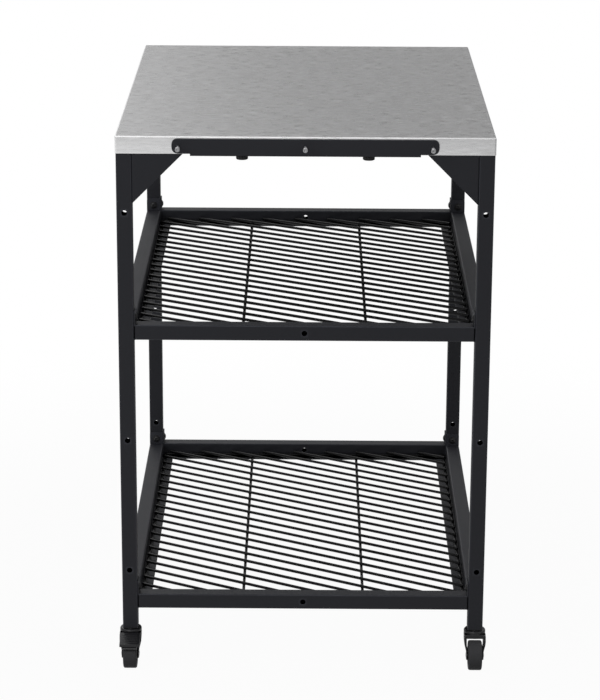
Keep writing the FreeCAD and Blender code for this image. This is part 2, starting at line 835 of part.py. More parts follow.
def fastener_nodes():
    """The screws of brackets and gussets, and the inserts that they turn in."""
    screws = []
    inserts = []
    for place, outward, grip in all_screw_places():
        screws.append(pointed(screw(), place + outward * grip, outward))
        inserts.append(pointed(insert(), place, outward))
    return {"frame_screws": Part.makeCompound(screws), "frame_inserts": Part.makeCompound(inserts)}


def tool_rail_nodes():
    """The tool rail with its pegs, thumbscrews, washers and inserts."""
    nodes = {"tool_rail": tool_rail(), "tool_rail_pegs": pegs(), "thumbscrew_inserts": thumb_inserts()}
    for name, side in (("left", -1), ("right", 1)):
        nodes["thumbscrew_" + name] = thumbscrew(side)
        nodes["thumbscrew_washer_" + name] = thumb_washer(side)
    return nodes


def caster_nodes():
    """The four casters, two of them with brakes."""
    nodes = {}
    stems = []
    for name, (right, back) in corners.items():
        own_fork = braked_fork() if name in braked else fork()
        nodes["caster_fork_" + name] = set_caster(own_fork, right, back)
        nodes["caster_wheel_" + name] = set_caster(wheel(), right, back)
        nodes["caster_axle_" + name] = set_caster(axle(), right, back)
        if name in braked:
            nodes["brake_pedal_" + name] = set_caster(pedal(), right, back)
        stems.append(set_caster(stem(), right, back))
    nodes["caster_stems"] = Part.makeCompound(stems)
    return nodes


def main():
    """Build every node and write it to its own file."""
    nodes = {}
    for group in (frame_nodes, shelf_nodes, fastener_nodes, tool_rail_nodes, caster_nodes):
        nodes.update(group())
    for name, shape in nodes.items():
        if not shape.isValid():
            raise ValueError("invalid shape: " + name)
        shape.exportStep("parts/" + name + ".step")
    print(len(nodes), "nodes")


main()
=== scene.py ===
"""Looks of the rolling outdoor table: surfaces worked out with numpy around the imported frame."""

import logging
import math
from dataclasses import dataclass, field
from enum import Enum

import bmesh
import bpy
import numpy as np
from mathutils import Matrix, Vector


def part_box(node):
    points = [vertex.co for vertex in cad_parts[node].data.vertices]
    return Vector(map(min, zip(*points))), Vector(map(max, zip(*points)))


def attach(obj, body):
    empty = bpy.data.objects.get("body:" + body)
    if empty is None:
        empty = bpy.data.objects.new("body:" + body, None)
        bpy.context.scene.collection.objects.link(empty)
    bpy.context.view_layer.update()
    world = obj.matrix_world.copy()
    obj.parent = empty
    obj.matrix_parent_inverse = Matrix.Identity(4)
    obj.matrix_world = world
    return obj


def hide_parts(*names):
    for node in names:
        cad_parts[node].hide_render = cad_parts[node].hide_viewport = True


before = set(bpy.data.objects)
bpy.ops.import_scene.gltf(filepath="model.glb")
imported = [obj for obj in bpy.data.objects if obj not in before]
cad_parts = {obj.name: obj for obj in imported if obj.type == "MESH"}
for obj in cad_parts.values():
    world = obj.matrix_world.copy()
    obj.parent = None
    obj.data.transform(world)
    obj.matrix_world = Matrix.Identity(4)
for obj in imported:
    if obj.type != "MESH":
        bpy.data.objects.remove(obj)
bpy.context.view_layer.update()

log = logging.getLogger("table")
Array = np.ndarray
Point = tuple[float, float, float]
Tree = bpy.types.NodeTree
Socket = bpy.types.NodeSocket
MM = 0.001
QUARTER = math.pi / 2
MERGE = 2e-6
SHARP = math.radians(38)
WEAR = "edge_wear"
BRUSHING = "brushing"
CORNERS = {"front_left": (-1, -1), "front_right": (1, -1), "rear_left": (-1, 1), "rear_right": (1, 1)}
TUBE = 25.0
TUBE_WALL = 1.5
PLATE = 2.0
OUTER_X, OUTER_Y = 299.0, 399.0
LEG_X, LEG_Y = OUTER_X - TUBE / 2, OUTER_Y - TUBE / 2
INNER_X, INNER_Y = OUTER_X - TUBE, OUTER_Y - TUBE
LEG_TOP = 874.0


def box_mm(node: str) -> tuple[Array, Array]:
    """The lowest and highest corner of a CAD node, in millimetres."""
    low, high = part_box(node)
    return np.array(low) / MM, np.array(high) / MM


@dataclass(frozen=True)
class Place:
    """A local frame: where its origin lies and where its three axes point."""

    origin: Point = (0.0, 0.0, 0.0)
    u: Point = (1.0, 0.0, 0.0)
    v: Point = (0.0, 1.0, 0.0)
    w: Point = (0.0, 0.0, 1.0)

    def world(self, points: Array) -> Array:
        """Local points as points of the table's own frame."""
        return np.asarray(self.origin) + points @ np.array([self.u, self.v, self.w])

    @staticmethod
    def pointing(origin: Array, direction: Array) -> "Place":
        """A frame whose third axis points along a direction.

        Args:
            origin: the frame's origin.
            direction: the way its third axis points.

        Returns:
            The frame, with its first axis as level as it can be.
        """
        w = np.asarray(direction, float) / np.linalg.norm(direction)
        helper = np.array([0.0, 0.0, 1.0]) if abs(w[2]) < 0.9 else np.array([1.0, 0.0, 0.0])
        u = np.cross(helper, w)
        u /= np.linalg.norm(u)
        return Place(tuple(origin), tuple(u), tuple(np.cross(w, u)), tuple(w))


class Axis(Enum):
    """The way a straight bar runs, as the frame of its cross-section."""

    X = Place(u=(0.0, 1.0, 0.0), v=(0.0, 0.0, 1.0), w=(1.0, 0.0, 0.0))
    Y = Place(u=(1.0, 0.0, 0.0), v=(0.0, 0.0, 1.0), w=(0.0, 1.0, 0.0))
    Z = Place()


RAILS = (("front", Axis.X), ("rear", Axis.X), ("left", Axis.Y), ("right", Axis.Y))


def quarter_round(size: float, steps: int) -> Array:
    """The points (r(1 - cos t), r(1 - sin t)) for t from 0 to 90 degrees, with r the size."""
    turn = np.linspace(0, QUARTER, steps)
    return size * np.column_stack([1 - np.cos(turn), 1 - np.sin(turn)])


def soften(corners: Array, reach: float | Array, steps: int = 5) -> Array:
    """An outline with rounded corners.

    Each corner P becomes the curve (1-t)^2 A + 2t(1-t) P + t^2 B, where A and B lie on its two
    sides at the given reach from it.

    Args:
        corners: (N, 2) points.
        reach: how far each curve starts from its corner, one value or one per corner.
        steps: points on each curve.

    Returns:
        (N * steps, 2) points.
    """
    corners = np.asarray(corners, float)
    reach = np.broadcast_to(np.asarray(reach, float), len(corners))[:, None]
    back = np.roll(corners, 1, 0) - corners
    ahead = np.roll(corners, -1, 0) - corners
    start = corners + back / np.linalg.norm(back, axis=1, keepdims=True) * reach
    end = corners + ahead / np.linalg.norm(ahead, axis=1, keepdims=True) * reach
    t = np.linspace(0, 1, steps)[None, :, None]
    curve = (1 - t) ** 2 * start[:, None] + 2 * t * (1 - t) * corners[:, None] + t ** 2 * end[:, None]
    return curve.reshape(-1, 2)


def inset(outline: Array, distance: float) -> Array:
    """A counterclockwise outline moved inwards along the bisectors of its corners."""
    before = outline - np.roll(outline, 1, 0)
    after = np.roll(before, -1, 0)
    normals = []
    for side in (before, after):
        length = np.maximum(np.linalg.norm(side, axis=1, keepdims=True), 1e-9)
        normals.append(np.stack([-side[:, 1], side[:, 0]], axis=1) / length)
    middle = normals[0] + normals[1]
    middle /= np.maximum(np.linalg.norm(middle, axis=1, keepdims=True), 1e-9)
    share = np.maximum((middle * normals[0]).sum(axis=1, keepdims=True), 0.35)
    return outline + middle * distance / share


def upright(outline: Array) -> Array:
    """The outline in counterclockwise order."""
    after = np.roll(outline, -1, 0)
    area = (outline[:, 0] * after[:, 1] - outline[:, 1] * after[:, 0]).sum()
    return outline if area > 0 else outline[::-1]


def box_outline(u0: float, u1: float, v0: float, v1: float) -> Array:
    """The four corners of a rectangle between two values each way, counterclockwise."""
    low_u, high_u = min(u0, u1), max(u0, u1)
    low_v, high_v = min(v0, v1), max(v0, v1)
    return np.array([[low_u, low_v], [high_u, low_v], [high_u, high_v], [low_u, high_v]])


def raised(flat: Array, level: float | Array) -> Array:
    """Flat points with a level, or one level each, as their third value."""
    return np.column_stack([flat, np.broadcast_to(level, len(flat))])


class Surface:
    """Grids of points gathered into one closed mesh, in millimetres."""

    def __init__(self) -> None:
        self.points: list[Array] = []
        self.worn: list[Array] = []
        self.quads: list[Array] = []
        self.caps: list[list[int]] = []
        self.count = 0

    def _add(self, points: Array, worn: float | Array) -> Array:
        """Stores points and gives their numbers in the shape of the grid."""
        shape = points.shape[:-1]
        numbers = self.count + np.arange(int(np.prod(shape))).reshape(shape)
        self.points.append(points.reshape(-1, 3))
        self.worn.append(np.broadcast_to(worn, shape).reshape(-1).astype(float))
        self.count += numbers.size
        return numbers

    def grid(self, points: Array, rows: bool = False, columns: bool = False,
             worn: float | Array = 0.0, skip: Array | None = None) -> None:
        """Adds a grid of quads.

        Args:
            points: (R, C, 3) points.
            rows: whether the last row joins the first.
            columns: whether the last column joins the first.
            worn: how exposed to wear each point is, from 0 to 1.
            skip: which quads are left out, or None.
        """
        numbers = self._add(points, worn)
        if rows:
            numbers = np.vstack([numbers, numbers[:1]])
        if columns:
            numbers = np.hstack([numbers, numbers[:, :1]])
        quads = np.stack([numbers[:-1, :-1], numbers[1:, :-1], numbers[1:, 1:], numbers[:-1, 1:]], axis=-1)
        self.quads.append(quads[~skip] if skip is not None else quads.reshape(-1, 4))

    def loft(self, rings: Array, worn: float | Array = 0.0) -> None:
        """Adds closed rings joined one to the next, with a flat face on the first and the last."""
        self.grid(rings, columns=True, worn=worn)
        for ring in (rings[0], rings[-1]):
            self.caps.append(self._add(ring, 0.0).tolist())

    def slab(self, outline: Array, low: float, high: float, edge: float, place: Place, steps: int = 4) -> None:
        """Adds an outline carried between two levels, with rounded edges.

        The rings are the outline inset by e(1 - cos t) at the depth e(1 - sin t) under each end,
        for t from 0 to 90 degrees.

        Args:
            outline: (N, 2) counterclockwise points in the place's first two axes.
            low: the level of one end along the third axis.
            high: the level of the other end.
            edge: the rounding e of the edges.
            place: the frame of the slab.
            steps: rings in each rounding.
        """
        shrink, depth = quarter_round(edge, steps)[::-1].T
        levels = np.concatenate([low + depth, (high - depth)[::-1]])
        insets = np.concatenate([shrink, shrink[::-1]])
        rings = np.stack([raised(inset(outline, value), level) for value, level in zip(insets, levels)])
        rounded = (insets > 0.01 * edge) & (insets < 0.99 * edge)
        self.loft(place.world(rings), np.where(rounded, 1.0, 0.0)[:, None])

    def turned(self, profile: Array, place: Place, steps: int = 32,
               reach: Array | None = None, worn: float | Array = 0.0) -> None:
        """Adds a profile turned about the place's third axis.

        The point at profile row (r, h) and angle a is (r cos a, r sin a, h), with r multiplied by
        reach where that is given.

        Args:
            profile: (P, 2) radii and heights.
            place: the frame of the turned piece.
            steps: points round the axis.
            reach: (P, steps) shares of the radius, or None.
            worn: how exposed to wear each profile point is.
        """
        profile = np.asarray(profile, float)
        angle = np.linspace(0, 2 * math.pi, steps, endpoint=False)
        radius = np.broadcast_to(profile[:, :1] * (1.0 if reach is None else reach), (len(profile), steps))
        height = np.broadcast_to(profile[:, 1:], radius.shape)
        points = np.stack([radius * np.cos(angle), radius * np.sin(angle), height], axis=-1)
        worn = np.broadcast_to(np.asarray(worn, float).reshape(-1, 1), radius.shape)
        self.grid(place.world(points), columns=True, worn=worn)

    def mesh(self, name: str) -> bpy.types.Mesh:
        """Makes the Blender mesh: doubles merged, faces turned outwards, sharp edges marked.

        Args:
            name: the mesh's name.

        Returns:
            The finished mesh, in metres.
        """
        mesh = bpy.data.meshes.new(name)
        mesh.from_pydata(np.concatenate(self.points) * MM, [], np.concatenate(self.quads).tolist() + self.caps)
        layer = mesh.attributes.new(WEAR, "FLOAT", "POINT")
        layer.data.foreach_set("value", np.concatenate(self.worn))
        shell = bmesh.new()
        shell.from_mesh(mesh)
        bmesh.ops.remove_doubles(shell, verts=shell.verts, dist=MERGE)
        bmesh.ops.recalc_face_normals(shell, faces=shell.faces)
        shell.to_mesh(mesh)
        shell.free()
        mesh.polygons.foreach_set("use_smooth", np.ones(len(mesh.polygons), bool))
        mesh.set_sharp_from_angle(angle=SHARP)
        mesh.update()
        return mesh


def add_node(tree: Tree, kind: str, inputs: dict | None = None, **settings: str) -> bpy.types.Node:
    """Adds a shader node.

    Args:
        tree: the material's or world's nodes.
        kind: the node's type, without its "ShaderNode".
        inputs: a value or a socket for each input, by name or number.
        settings: the node's own settings.

    Returns:
        The node.
    """
    made = tree.nodes.new("ShaderNode" + kind)
    for name, value in settings.items():
        setattr(made, name, value)
    for name, value in (inputs or {}).items():
        if isinstance(value, Socket):
            tree.links.new(value, made.inputs[name])
        else:
            made.inputs[name].default_value = value
    return made


def maths(tree: Tree, operation: str, *values: Socket | float) -> Socket:
    """The result of one Math node on sockets or numbers."""
    return add_node(tree, "Math", dict(enumerate(values)), operation=operation).outputs[0]


class Grain(Enum):
    """How the fine pattern of a finish lies: its stretch along X, Y and Z."""

    ALONG_X = (0.12, 1.0, 1.0)
    STREAKS = (0.45, 0.9, 2.2)
    ROUND = (1.0, 1.0, 1.0)


@dataclass(frozen=True)
class Finish:
    """A procedural material: a base colour with grain, smudges, fine bumps and worn edges."""

    name: str
    slot: str
    colour: Point
    metallic: float = 0.0
    roughness: float = 0.5
    grain: Grain = Grain.ROUND
    grain_scale: float = 900.0
    grain_tint: float = 0.12
    grain_rough: float = 0.08
    bump: float = 0.15
    bump_depth: float = 0.00005
    smudge: Grain = Grain.ROUND
    smudge_scale: float = 9.0
    smudge_tint: float = 0.08
    smudge_rough: float = 0.06
    wear_tint: float = 0.5
    wear_rough: float = -0.08
    specular: float = 0.5
    anisotropic: float = 0.0

    def material(self) -> bpy.types.Material:
        """The finish as a Blender material, made once and then reused."""
        return bpy.data.materials.get(self.name) or self._build()

    def _build(self) -> bpy.types.Material:
        """Builds the node tree.

        The colour is the base colour times 1 + tint * (noise - 1/2), for the grain and for the
        smudges, and lighter on worn edges; the roughness moves with the same noises, and the
        grain also bends the normal.
        """
        material = bpy.data.materials.new(self.name)
        material.use_nodes = True
        tree = material.node_tree
        tree.nodes.clear()
        spot = add_node(tree, "TexCoord").outputs["Object"]
        grain = self._noise(tree, spot, self.grain, self.grain_scale, 3.0)
        smudge = self._noise(tree, spot, self.smudge, self.smudge_scale, 4.0)
        worn = self._worn(tree, smudge, grain)
        fine = maths(tree, "ADD", self._swing(tree, grain, self.grain_tint), 1.0)
        broad = maths(tree, "ADD", self._swing(tree, smudge, self.smudge_tint), 1.0)
        pale = maths(tree, "MULTIPLY_ADD", worn, self.wear_tint, 1.0)
        share = maths(tree, "MULTIPLY", maths(tree, "MULTIPLY", fine, broad), pale)
        tint = add_node(tree, "VectorMath", {0: self.colour, "Scale": share}, operation="SCALE")
        rough = maths(tree, "ADD", self._swing(tree, grain, self.grain_rough), self.roughness)
        rough = maths(tree, "ADD", rough, self._swing(tree, smudge, self.smudge_rough))
        rough = maths(tree, "MULTIPLY_ADD", worn, self.wear_rough, rough)
        bump = add_node(tree, "Bump", {"Strength": self.bump, "Distance": self.bump_depth, "Height": grain})
        shader = add_node(tree, "BsdfPrincipled", {
            "Base Color": tint.outputs[0], "Metallic": self.metallic, "Roughness": rough,
            "Normal": bump.outputs["Normal"], "Specular IOR Level": self.specular, "Anisotropic": self.anisotropic})
        if self.anisotropic:
            tangent = add_node(tree, "Tangent", direction_type="UV_MAP", uv_map=BRUSHING)
            tree.links.new(tangent.outputs["Tangent"], shader.inputs["Tangent"])
        add_node(tree, "OutputMaterial", {"Surface": shader.outputs["BSDF"]})
        return material

    @staticmethod
    def _noise(tree: Tree, spot: Socket, stretch: Grain, scale: float, detail: float) -> Socket:
        """A noise on object coordinates, stretched along the axes."""
        mapping = add_node(tree, "Mapping", {"Vector": spot, "Scale": stretch.value})
        noise = add_node(tree, "TexNoise", {"Vector": mapping.outputs["Vector"], "Scale": scale, "Detail": detail})
        return noise.outputs["Fac"]

    @staticmethod
    def _swing(tree: Tree, noise: Socket, size: float) -> Socket:
        """A noise from 0 to 1 as a swing about zero."""
        return maths(tree, "MULTIPLY", maths(tree, "SUBTRACT", noise, 0.5), 2.0 * size)

    @staticmethod
    def _worn(tree: Tree, smudge: Socket, grain: Socket) -> Socket:
        """The mesh's own edge value, broken up by both noises."""
        edge = add_node(tree, "Attribute", attribute_name=WEAR)
        patches = maths(tree, "MULTIPLY", smudge, edge.outputs["Fac"])
        return maths(tree, "MULTIPLY", patches, maths(tree, "ADD", grain, 0.5))


STAINLESS = Finish("brushed_stainless_sheet", "brushed_stainless", (0.76, 0.76, 0.765), metallic=1.0, roughness=0.30,
                   grain=Grain.ALONG_X, grain_scale=420.0, grain_tint=0.22, grain_rough=0.12, bump=0.22,
                   bump_depth=0.00010, smudge=Grain.STREAKS, smudge_scale=95.0, smudge_tint=0.12,
                   smudge_rough=0.06, wear_tint=0.2, anisotropic=0.5)
POWDER = Finish("powder_coat_black", "black_powder_coat", (0.0165, 0.0171, 0.0210), roughness=0.55,
                grain_scale=1500.0, grain_tint=0.25, grain_rough=0.10, bump=0.25, bump_depth=0.00008,
                wear_tint=1.6, specular=0.25)
WIRE = Finish("wire_coating_black", "black_wire_coating", (0.0025, 0.0025, 0.0028), roughness=0.30,
              grain_scale=1800.0, grain_tint=0.2, bump=0.12, wear_tint=1.4, specular=0.18)
PEG = Finish("turned_steel", "peg_steel", (0.44, 0.44, 0.45), metallic=1.0, roughness=0.45, grain_scale=2200.0,
             grain_tint=0.08, bump=0.12)
ZINC = Finish("zinc_plating", "zinc_plated_steel", (0.50, 0.50, 0.51), metallic=1.0, roughness=0.36,
              grain_scale=1400.0, grain_tint=0.12, bump=0.15)
SCREW = Finish("black_oxide_screw", "black_screw_steel", (0.012, 0.012, 0.013), roughness=0.34, specular=0.35,
               grain_scale=2400.0, bump=0.15, wear_tint=1.6)
GALVANIZED = Finish("galvanized_sheet", "galvanized_channel", (0.42, 0.43, 0.44), metallic=0.9, roughness=0.45,
                    grain_scale=160.0, grain_tint=0.25, grain_rough=0.16, bump=0.05)
CASTER = Finish("moulded_black_plastic", "caster_plastic", (0.010, 0.010, 0.0115), roughness=0.28,
                grain_scale=1600.0, grain_tint=0.15, bump=0.14, wear_tint=1.0, specular=0.4)
KNOB = Finish("moulded_knob_plastic", "knob_plastic", (0.011, 0.011, 0.012), roughness=0.46,
              grain_scale=2000.0, bump=0.2, wear_tint=1.2, specular=0.3)
TREAD = Finish("wheel_tread_grey", "wheel_rubber", (0.049, 0.049, 0.052), roughness=0.50, grain_scale=1300.0,
               grain_tint=0.2, bump=0.2, wear_tint=0.3, specular=0.06)


def weigh_normals(thing: bpy.types.Object) -> None:
    """Lets the larger faces lead the shading normals, so that a flat stays flat up to its roundings."""
    thing.modifiers.new("weighted", "WEIGHTED_NORMAL").keep_sharp = True
    graph = bpy.context.evaluated_depsgraph_get()
    settled = bpy.data.meshes.new_from_object(thing.evaluated_get(graph))
    thing.modifiers.clear()
    raw = thing.data
    thing.data = settled
    bpy.data.meshes.remove(raw)
    settled.name = thing.name


def piece(name: str, surface: Surface, finish: Finish, replaced: tuple[str, ...],
          body: str = "frame") -> bpy.types.Object:
    """Puts a finished surface into the scene.

    Args:
        name: the piece's name.
        surface: its points and faces.
        finish: its material.
        replaced: the CAD nodes that it stands for.
        body: the CAD body that it rides on.

    Returns:
        The new object.
    """
    thing = bpy.data.objects.new(name, surface.mesh(name))
    bpy.context.scene.collection.objects.link(thing)
    weigh_normals(thing)
    thing.data.materials.append(finish.material())
    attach(thing, body)
    if replaced:
        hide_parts(*replaced)
    log.info("%s rides on %s: %d faces", name, body, len(thing.data.polygons))
    return thing


@dataclass
class TopSheet:
    """The stainless pan: a flat sheet folded down into a skirt all round."""

    half_x: float = 300.0
    half_y: float = 400.0
    top: float = 900.0
    skirt_bottom: float = 872.0
    sheet: float = 1.0
    fold: float = 2.4
    corner: float = 3.0
    least_corner: float = 0.6

    def ring(self, pull: float, level: float) -> Array:
        """A rounded rectangle inset by pull at a level."""
        x, y = self.half_x - pull, self.half_y - pull
        return raised(soften(box_outline(-x, x, -y, y), max(self.corner - pull, self.least_corner), 7), level)

    def build(self) -> None:
        """Makes the pan: rings up inside, round the lower edge, up the skirt and over the fold."""
        outer = quarter_round(self.fold, 9) * [1, -1] + [0, self.top]
        inner = quarter_round(self.fold - self.sheet, 9) * [1, -1] + [self.sheet, self.top - self.sheet]
        lip = np.linspace(0, math.pi, 7)
        middle = self.sheet / 2
        lower = middle * np.column_stack([1 - np.cos(lip), 1 - np.sin(lip)]) + [0, self.skirt_bottom]
        rows = np.vstack([inner[::-1], lower[::-1], outer])
        worn = np.zeros(len(rows))
        worn[len(inner):len(inner) + len(lower)] = 1.0
        surface = Surface()
        surface.loft(np.stack([self.ring(pull, level) for pull, level in rows]), worn[:, None])
        made = piece("top_sheet", surface, STAINLESS, ("tabletop",))
        self.brush_map(made.data)

    @staticmethod
    def brush_map(mesh: bpy.types.Mesh) -> None:
        """Gives the sheet a UV map whose U runs along X, the way it was brushed."""
        corners = np.zeros(len(mesh.loops), np.int32)
        mesh.loops.foreach_get("vertex_index", corners)
        points = np.zeros(len(mesh.vertices) * 3)
        mesh.vertices.foreach_get("co", points)
        points = points.reshape(-1, 3)[corners]
        layer = mesh.uv_layers.new(name=BRUSHING)
        layer.data.foreach_set("uv", np.column_stack([points[:, 0], points[:, 1] + points[:, 2]]).ravel())


@dataclass
class SquareTube:
    """Square tube with rounded corners, open ends and round holes through two facing walls."""

    start: float
    end: float
    centre: tuple[float, float]
    axis: Axis
    holes: tuple[float, ...] = ()
    half: float = TUBE / 2
    radius: float = 2.0
    least_radius: float = 0.2
    hole: float = 4.5
    rim: float = 0.35
    end_edge: float = 0.3
    flat_points: int = 9
    arc_points: int = 5

    def ring(self, half: float, radius: float) -> Array:
        """The cross-section: four flats of equal points, each followed by a corner arc."""
        reach = self.half - self.radius
        along = np.linspace(-reach, reach, self.flat_points)
        turn = np.linspace(0, QUARTER, self.arc_points + 2)[1:-1]
        centre = half - radius
        side = np.column_stack([along, np.full_like(along, -half)])
        arc = np.column_stack([centre + radius * np.sin(turn), -centre - radius * np.cos(turn)])
        quarter = np.vstack([side, arc])
        turns = [np.array([[1, 0], [0, 1]]), np.array([[0, 1], [-1, 0]]), -np.eye(2), np.array([[0, -1], [1, 0]])]
        return np.vstack([quarter @ matrix for matrix in turns])

    def stations(self) -> Array:
        """The levels of the rings: both ends, and nine across each hole."""
        reach = self.half - self.radius
        ends = [self.start + self.end_edge, self.end - self.end_edge]
        return np.sort(np.concatenate([ends, *(place + np.linspace(-reach, reach, self.flat_points)
                                               for place in self.holes)]))

    def wall_rings(self, place: float, side: int) -> Array:
        """The rings of one punched hole, from the outer square over the rim to the inner square.

        A ring is the square's boundary point q moved towards the circle point r q/|q|; the rim
        rounds from the face into the hole over a quarter circle on both faces.

        Args:
            place: the hole's level along the tube.
            side: 1 for the wall at the far side of the second axis, -1 for the near one.

        Returns:
            (R, 32, 3) local points.
        """
        reach = self.half - self.radius
        line = np.linspace(-reach, reach, self.flat_points)[:-1]
        edge = np.full_like(line, reach)
        square = np.concatenate([np.column_stack(pair) for pair in (
            (line, -edge), (edge, line), (-line, edge), (-edge, -line))])
        unit = square / np.linalg.norm(square, axis=1, keepdims=True)
        depths, growth = quarter_round(self.rim, 4).T
        radii = self.hole + growth
        between = 0.5 * square + 0.5 * unit * (self.hole + self.rim)
        rows = [(square, 0.0), (between, 0.0)]
        rows += [(unit * radius, depth) for radius, depth in zip(radii, depths)]
        rows += [(unit * radius, TUBE_WALL - depth) for radius, depth in zip(radii[::-1], depths[::-1])]
        rows += [(between, TUBE_WALL), (square, TUBE_WALL)]
        return np.stack([
            np.column_stack([flat[:, 0], np.full(len(flat), side * (self.half - depth)), place + flat[:, 1]])
            for flat, depth in rows])

    def add(self, surface: Surface) -> None:
        """Adds the tube to a surface."""
        levels = self.stations()
        cut = self.end_edge
        outer = (self.half, self.radius)
        rounded = (self.half - cut, self.radius - cut)
        inner = (self.half - TUBE_WALL, max(self.radius - TUBE_WALL, self.least_radius))
        rows = [(self.start, rounded), *((level, outer) for level in levels), (self.end, rounded),
                (self.end, inner), *((level, inner) for level in levels[::-1]), (self.start, inner)]
        rings = np.stack([raised(self.ring(*size), level) for level, size in rows])
        per_side = self.flat_points + self.arc_points
        cells = self.flat_points - 1
        skip = np.zeros(rings.shape[:2], bool)
        for hole in self.holes:
            first = 1 + int(np.argmin(np.abs(levels - (hole - self.half + self.radius))))
            mirror = len(rows) - 1 - first - cells
            for column in (0, 2 * per_side):
                for row in (first, mirror):
                    skip[row:row + cells, column:column + cells] = True
        worn = np.zeros(rings.shape[:2])
        for corner in range(self.flat_points, 4 * per_side, per_side):
            worn[:, corner:corner + self.arc_points] = 1.0
        place = self.place()
        surface.grid(place.world(rings), rows=True, columns=True, worn=worn, skip=skip)
        for hole in self.holes:
            for side in (-1, 1):
                patch = self.wall_rings(hole, side)
                rim = np.zeros(len(patch))
                rim[2:6] = 1.0
                surface.grid(place.world(patch), columns=True, worn=rim[:, None])

    def place(self) -> Place:
        """The frame of the cross-section: holes go through its second axis."""
        first, second = self.centre
        return {
            Axis.X: Place((0.0, first, second), (0, 0, 1), (0, 1, 0), (1, 0, 0)),
            Axis.Y: Place((first, 0.0, second), (1, 0, 0), (0, 0, 1), (0, 1, 0)),
            Axis.Z: Place((first, second, 0.0), (1, 0, 0), (0, 1, 0), (0, 0, 1)),
        }[self.axis]


def rail_tube(node: str, axis: Axis, holes: tuple[float, ...] = ()) -> SquareTube:
    """A rail's tube from its node's box, on the outer side of the table."""
    low, high = box_mm(node)
    across = 1 if axis is Axis.X else 0
    run = 1 - across
    side = math.copysign(1.0, low[across] + high[across])
    outer = max(abs(low[across]), abs(high[across]))
    return SquareTube(low[run], high[run], (side * (outer - TUBE / 2), low[2] + TUBE / 2), axis, holes)


@dataclass
class FrameTubes:
    """The four legs and the four rails under the sheet."""

    leg_holes: tuple[float, ...] = (169.0, 395.0, 775.5)

    def build(self) -> None:
        """Makes each leg and each rail from its node's box."""
        tubes = {}
        for corner in CORNERS:
            node = "leg_" + corner
            low, high = box_mm(node)
            middle = (low + high) / 2
            tubes[node] = SquareTube(low[2], high[2], (middle[0], middle[1]), Axis.Z, self.leg_holes)
        for side, axis in RAILS:
            node = f"top_frame_{side}_rail"
            tubes[node] = rail_tube(node, axis)
        for node, tube in tubes.items():
            surface = Surface()
            tube.add(surface)
            piece(node + "_tube", surface, POWDER, (node,))


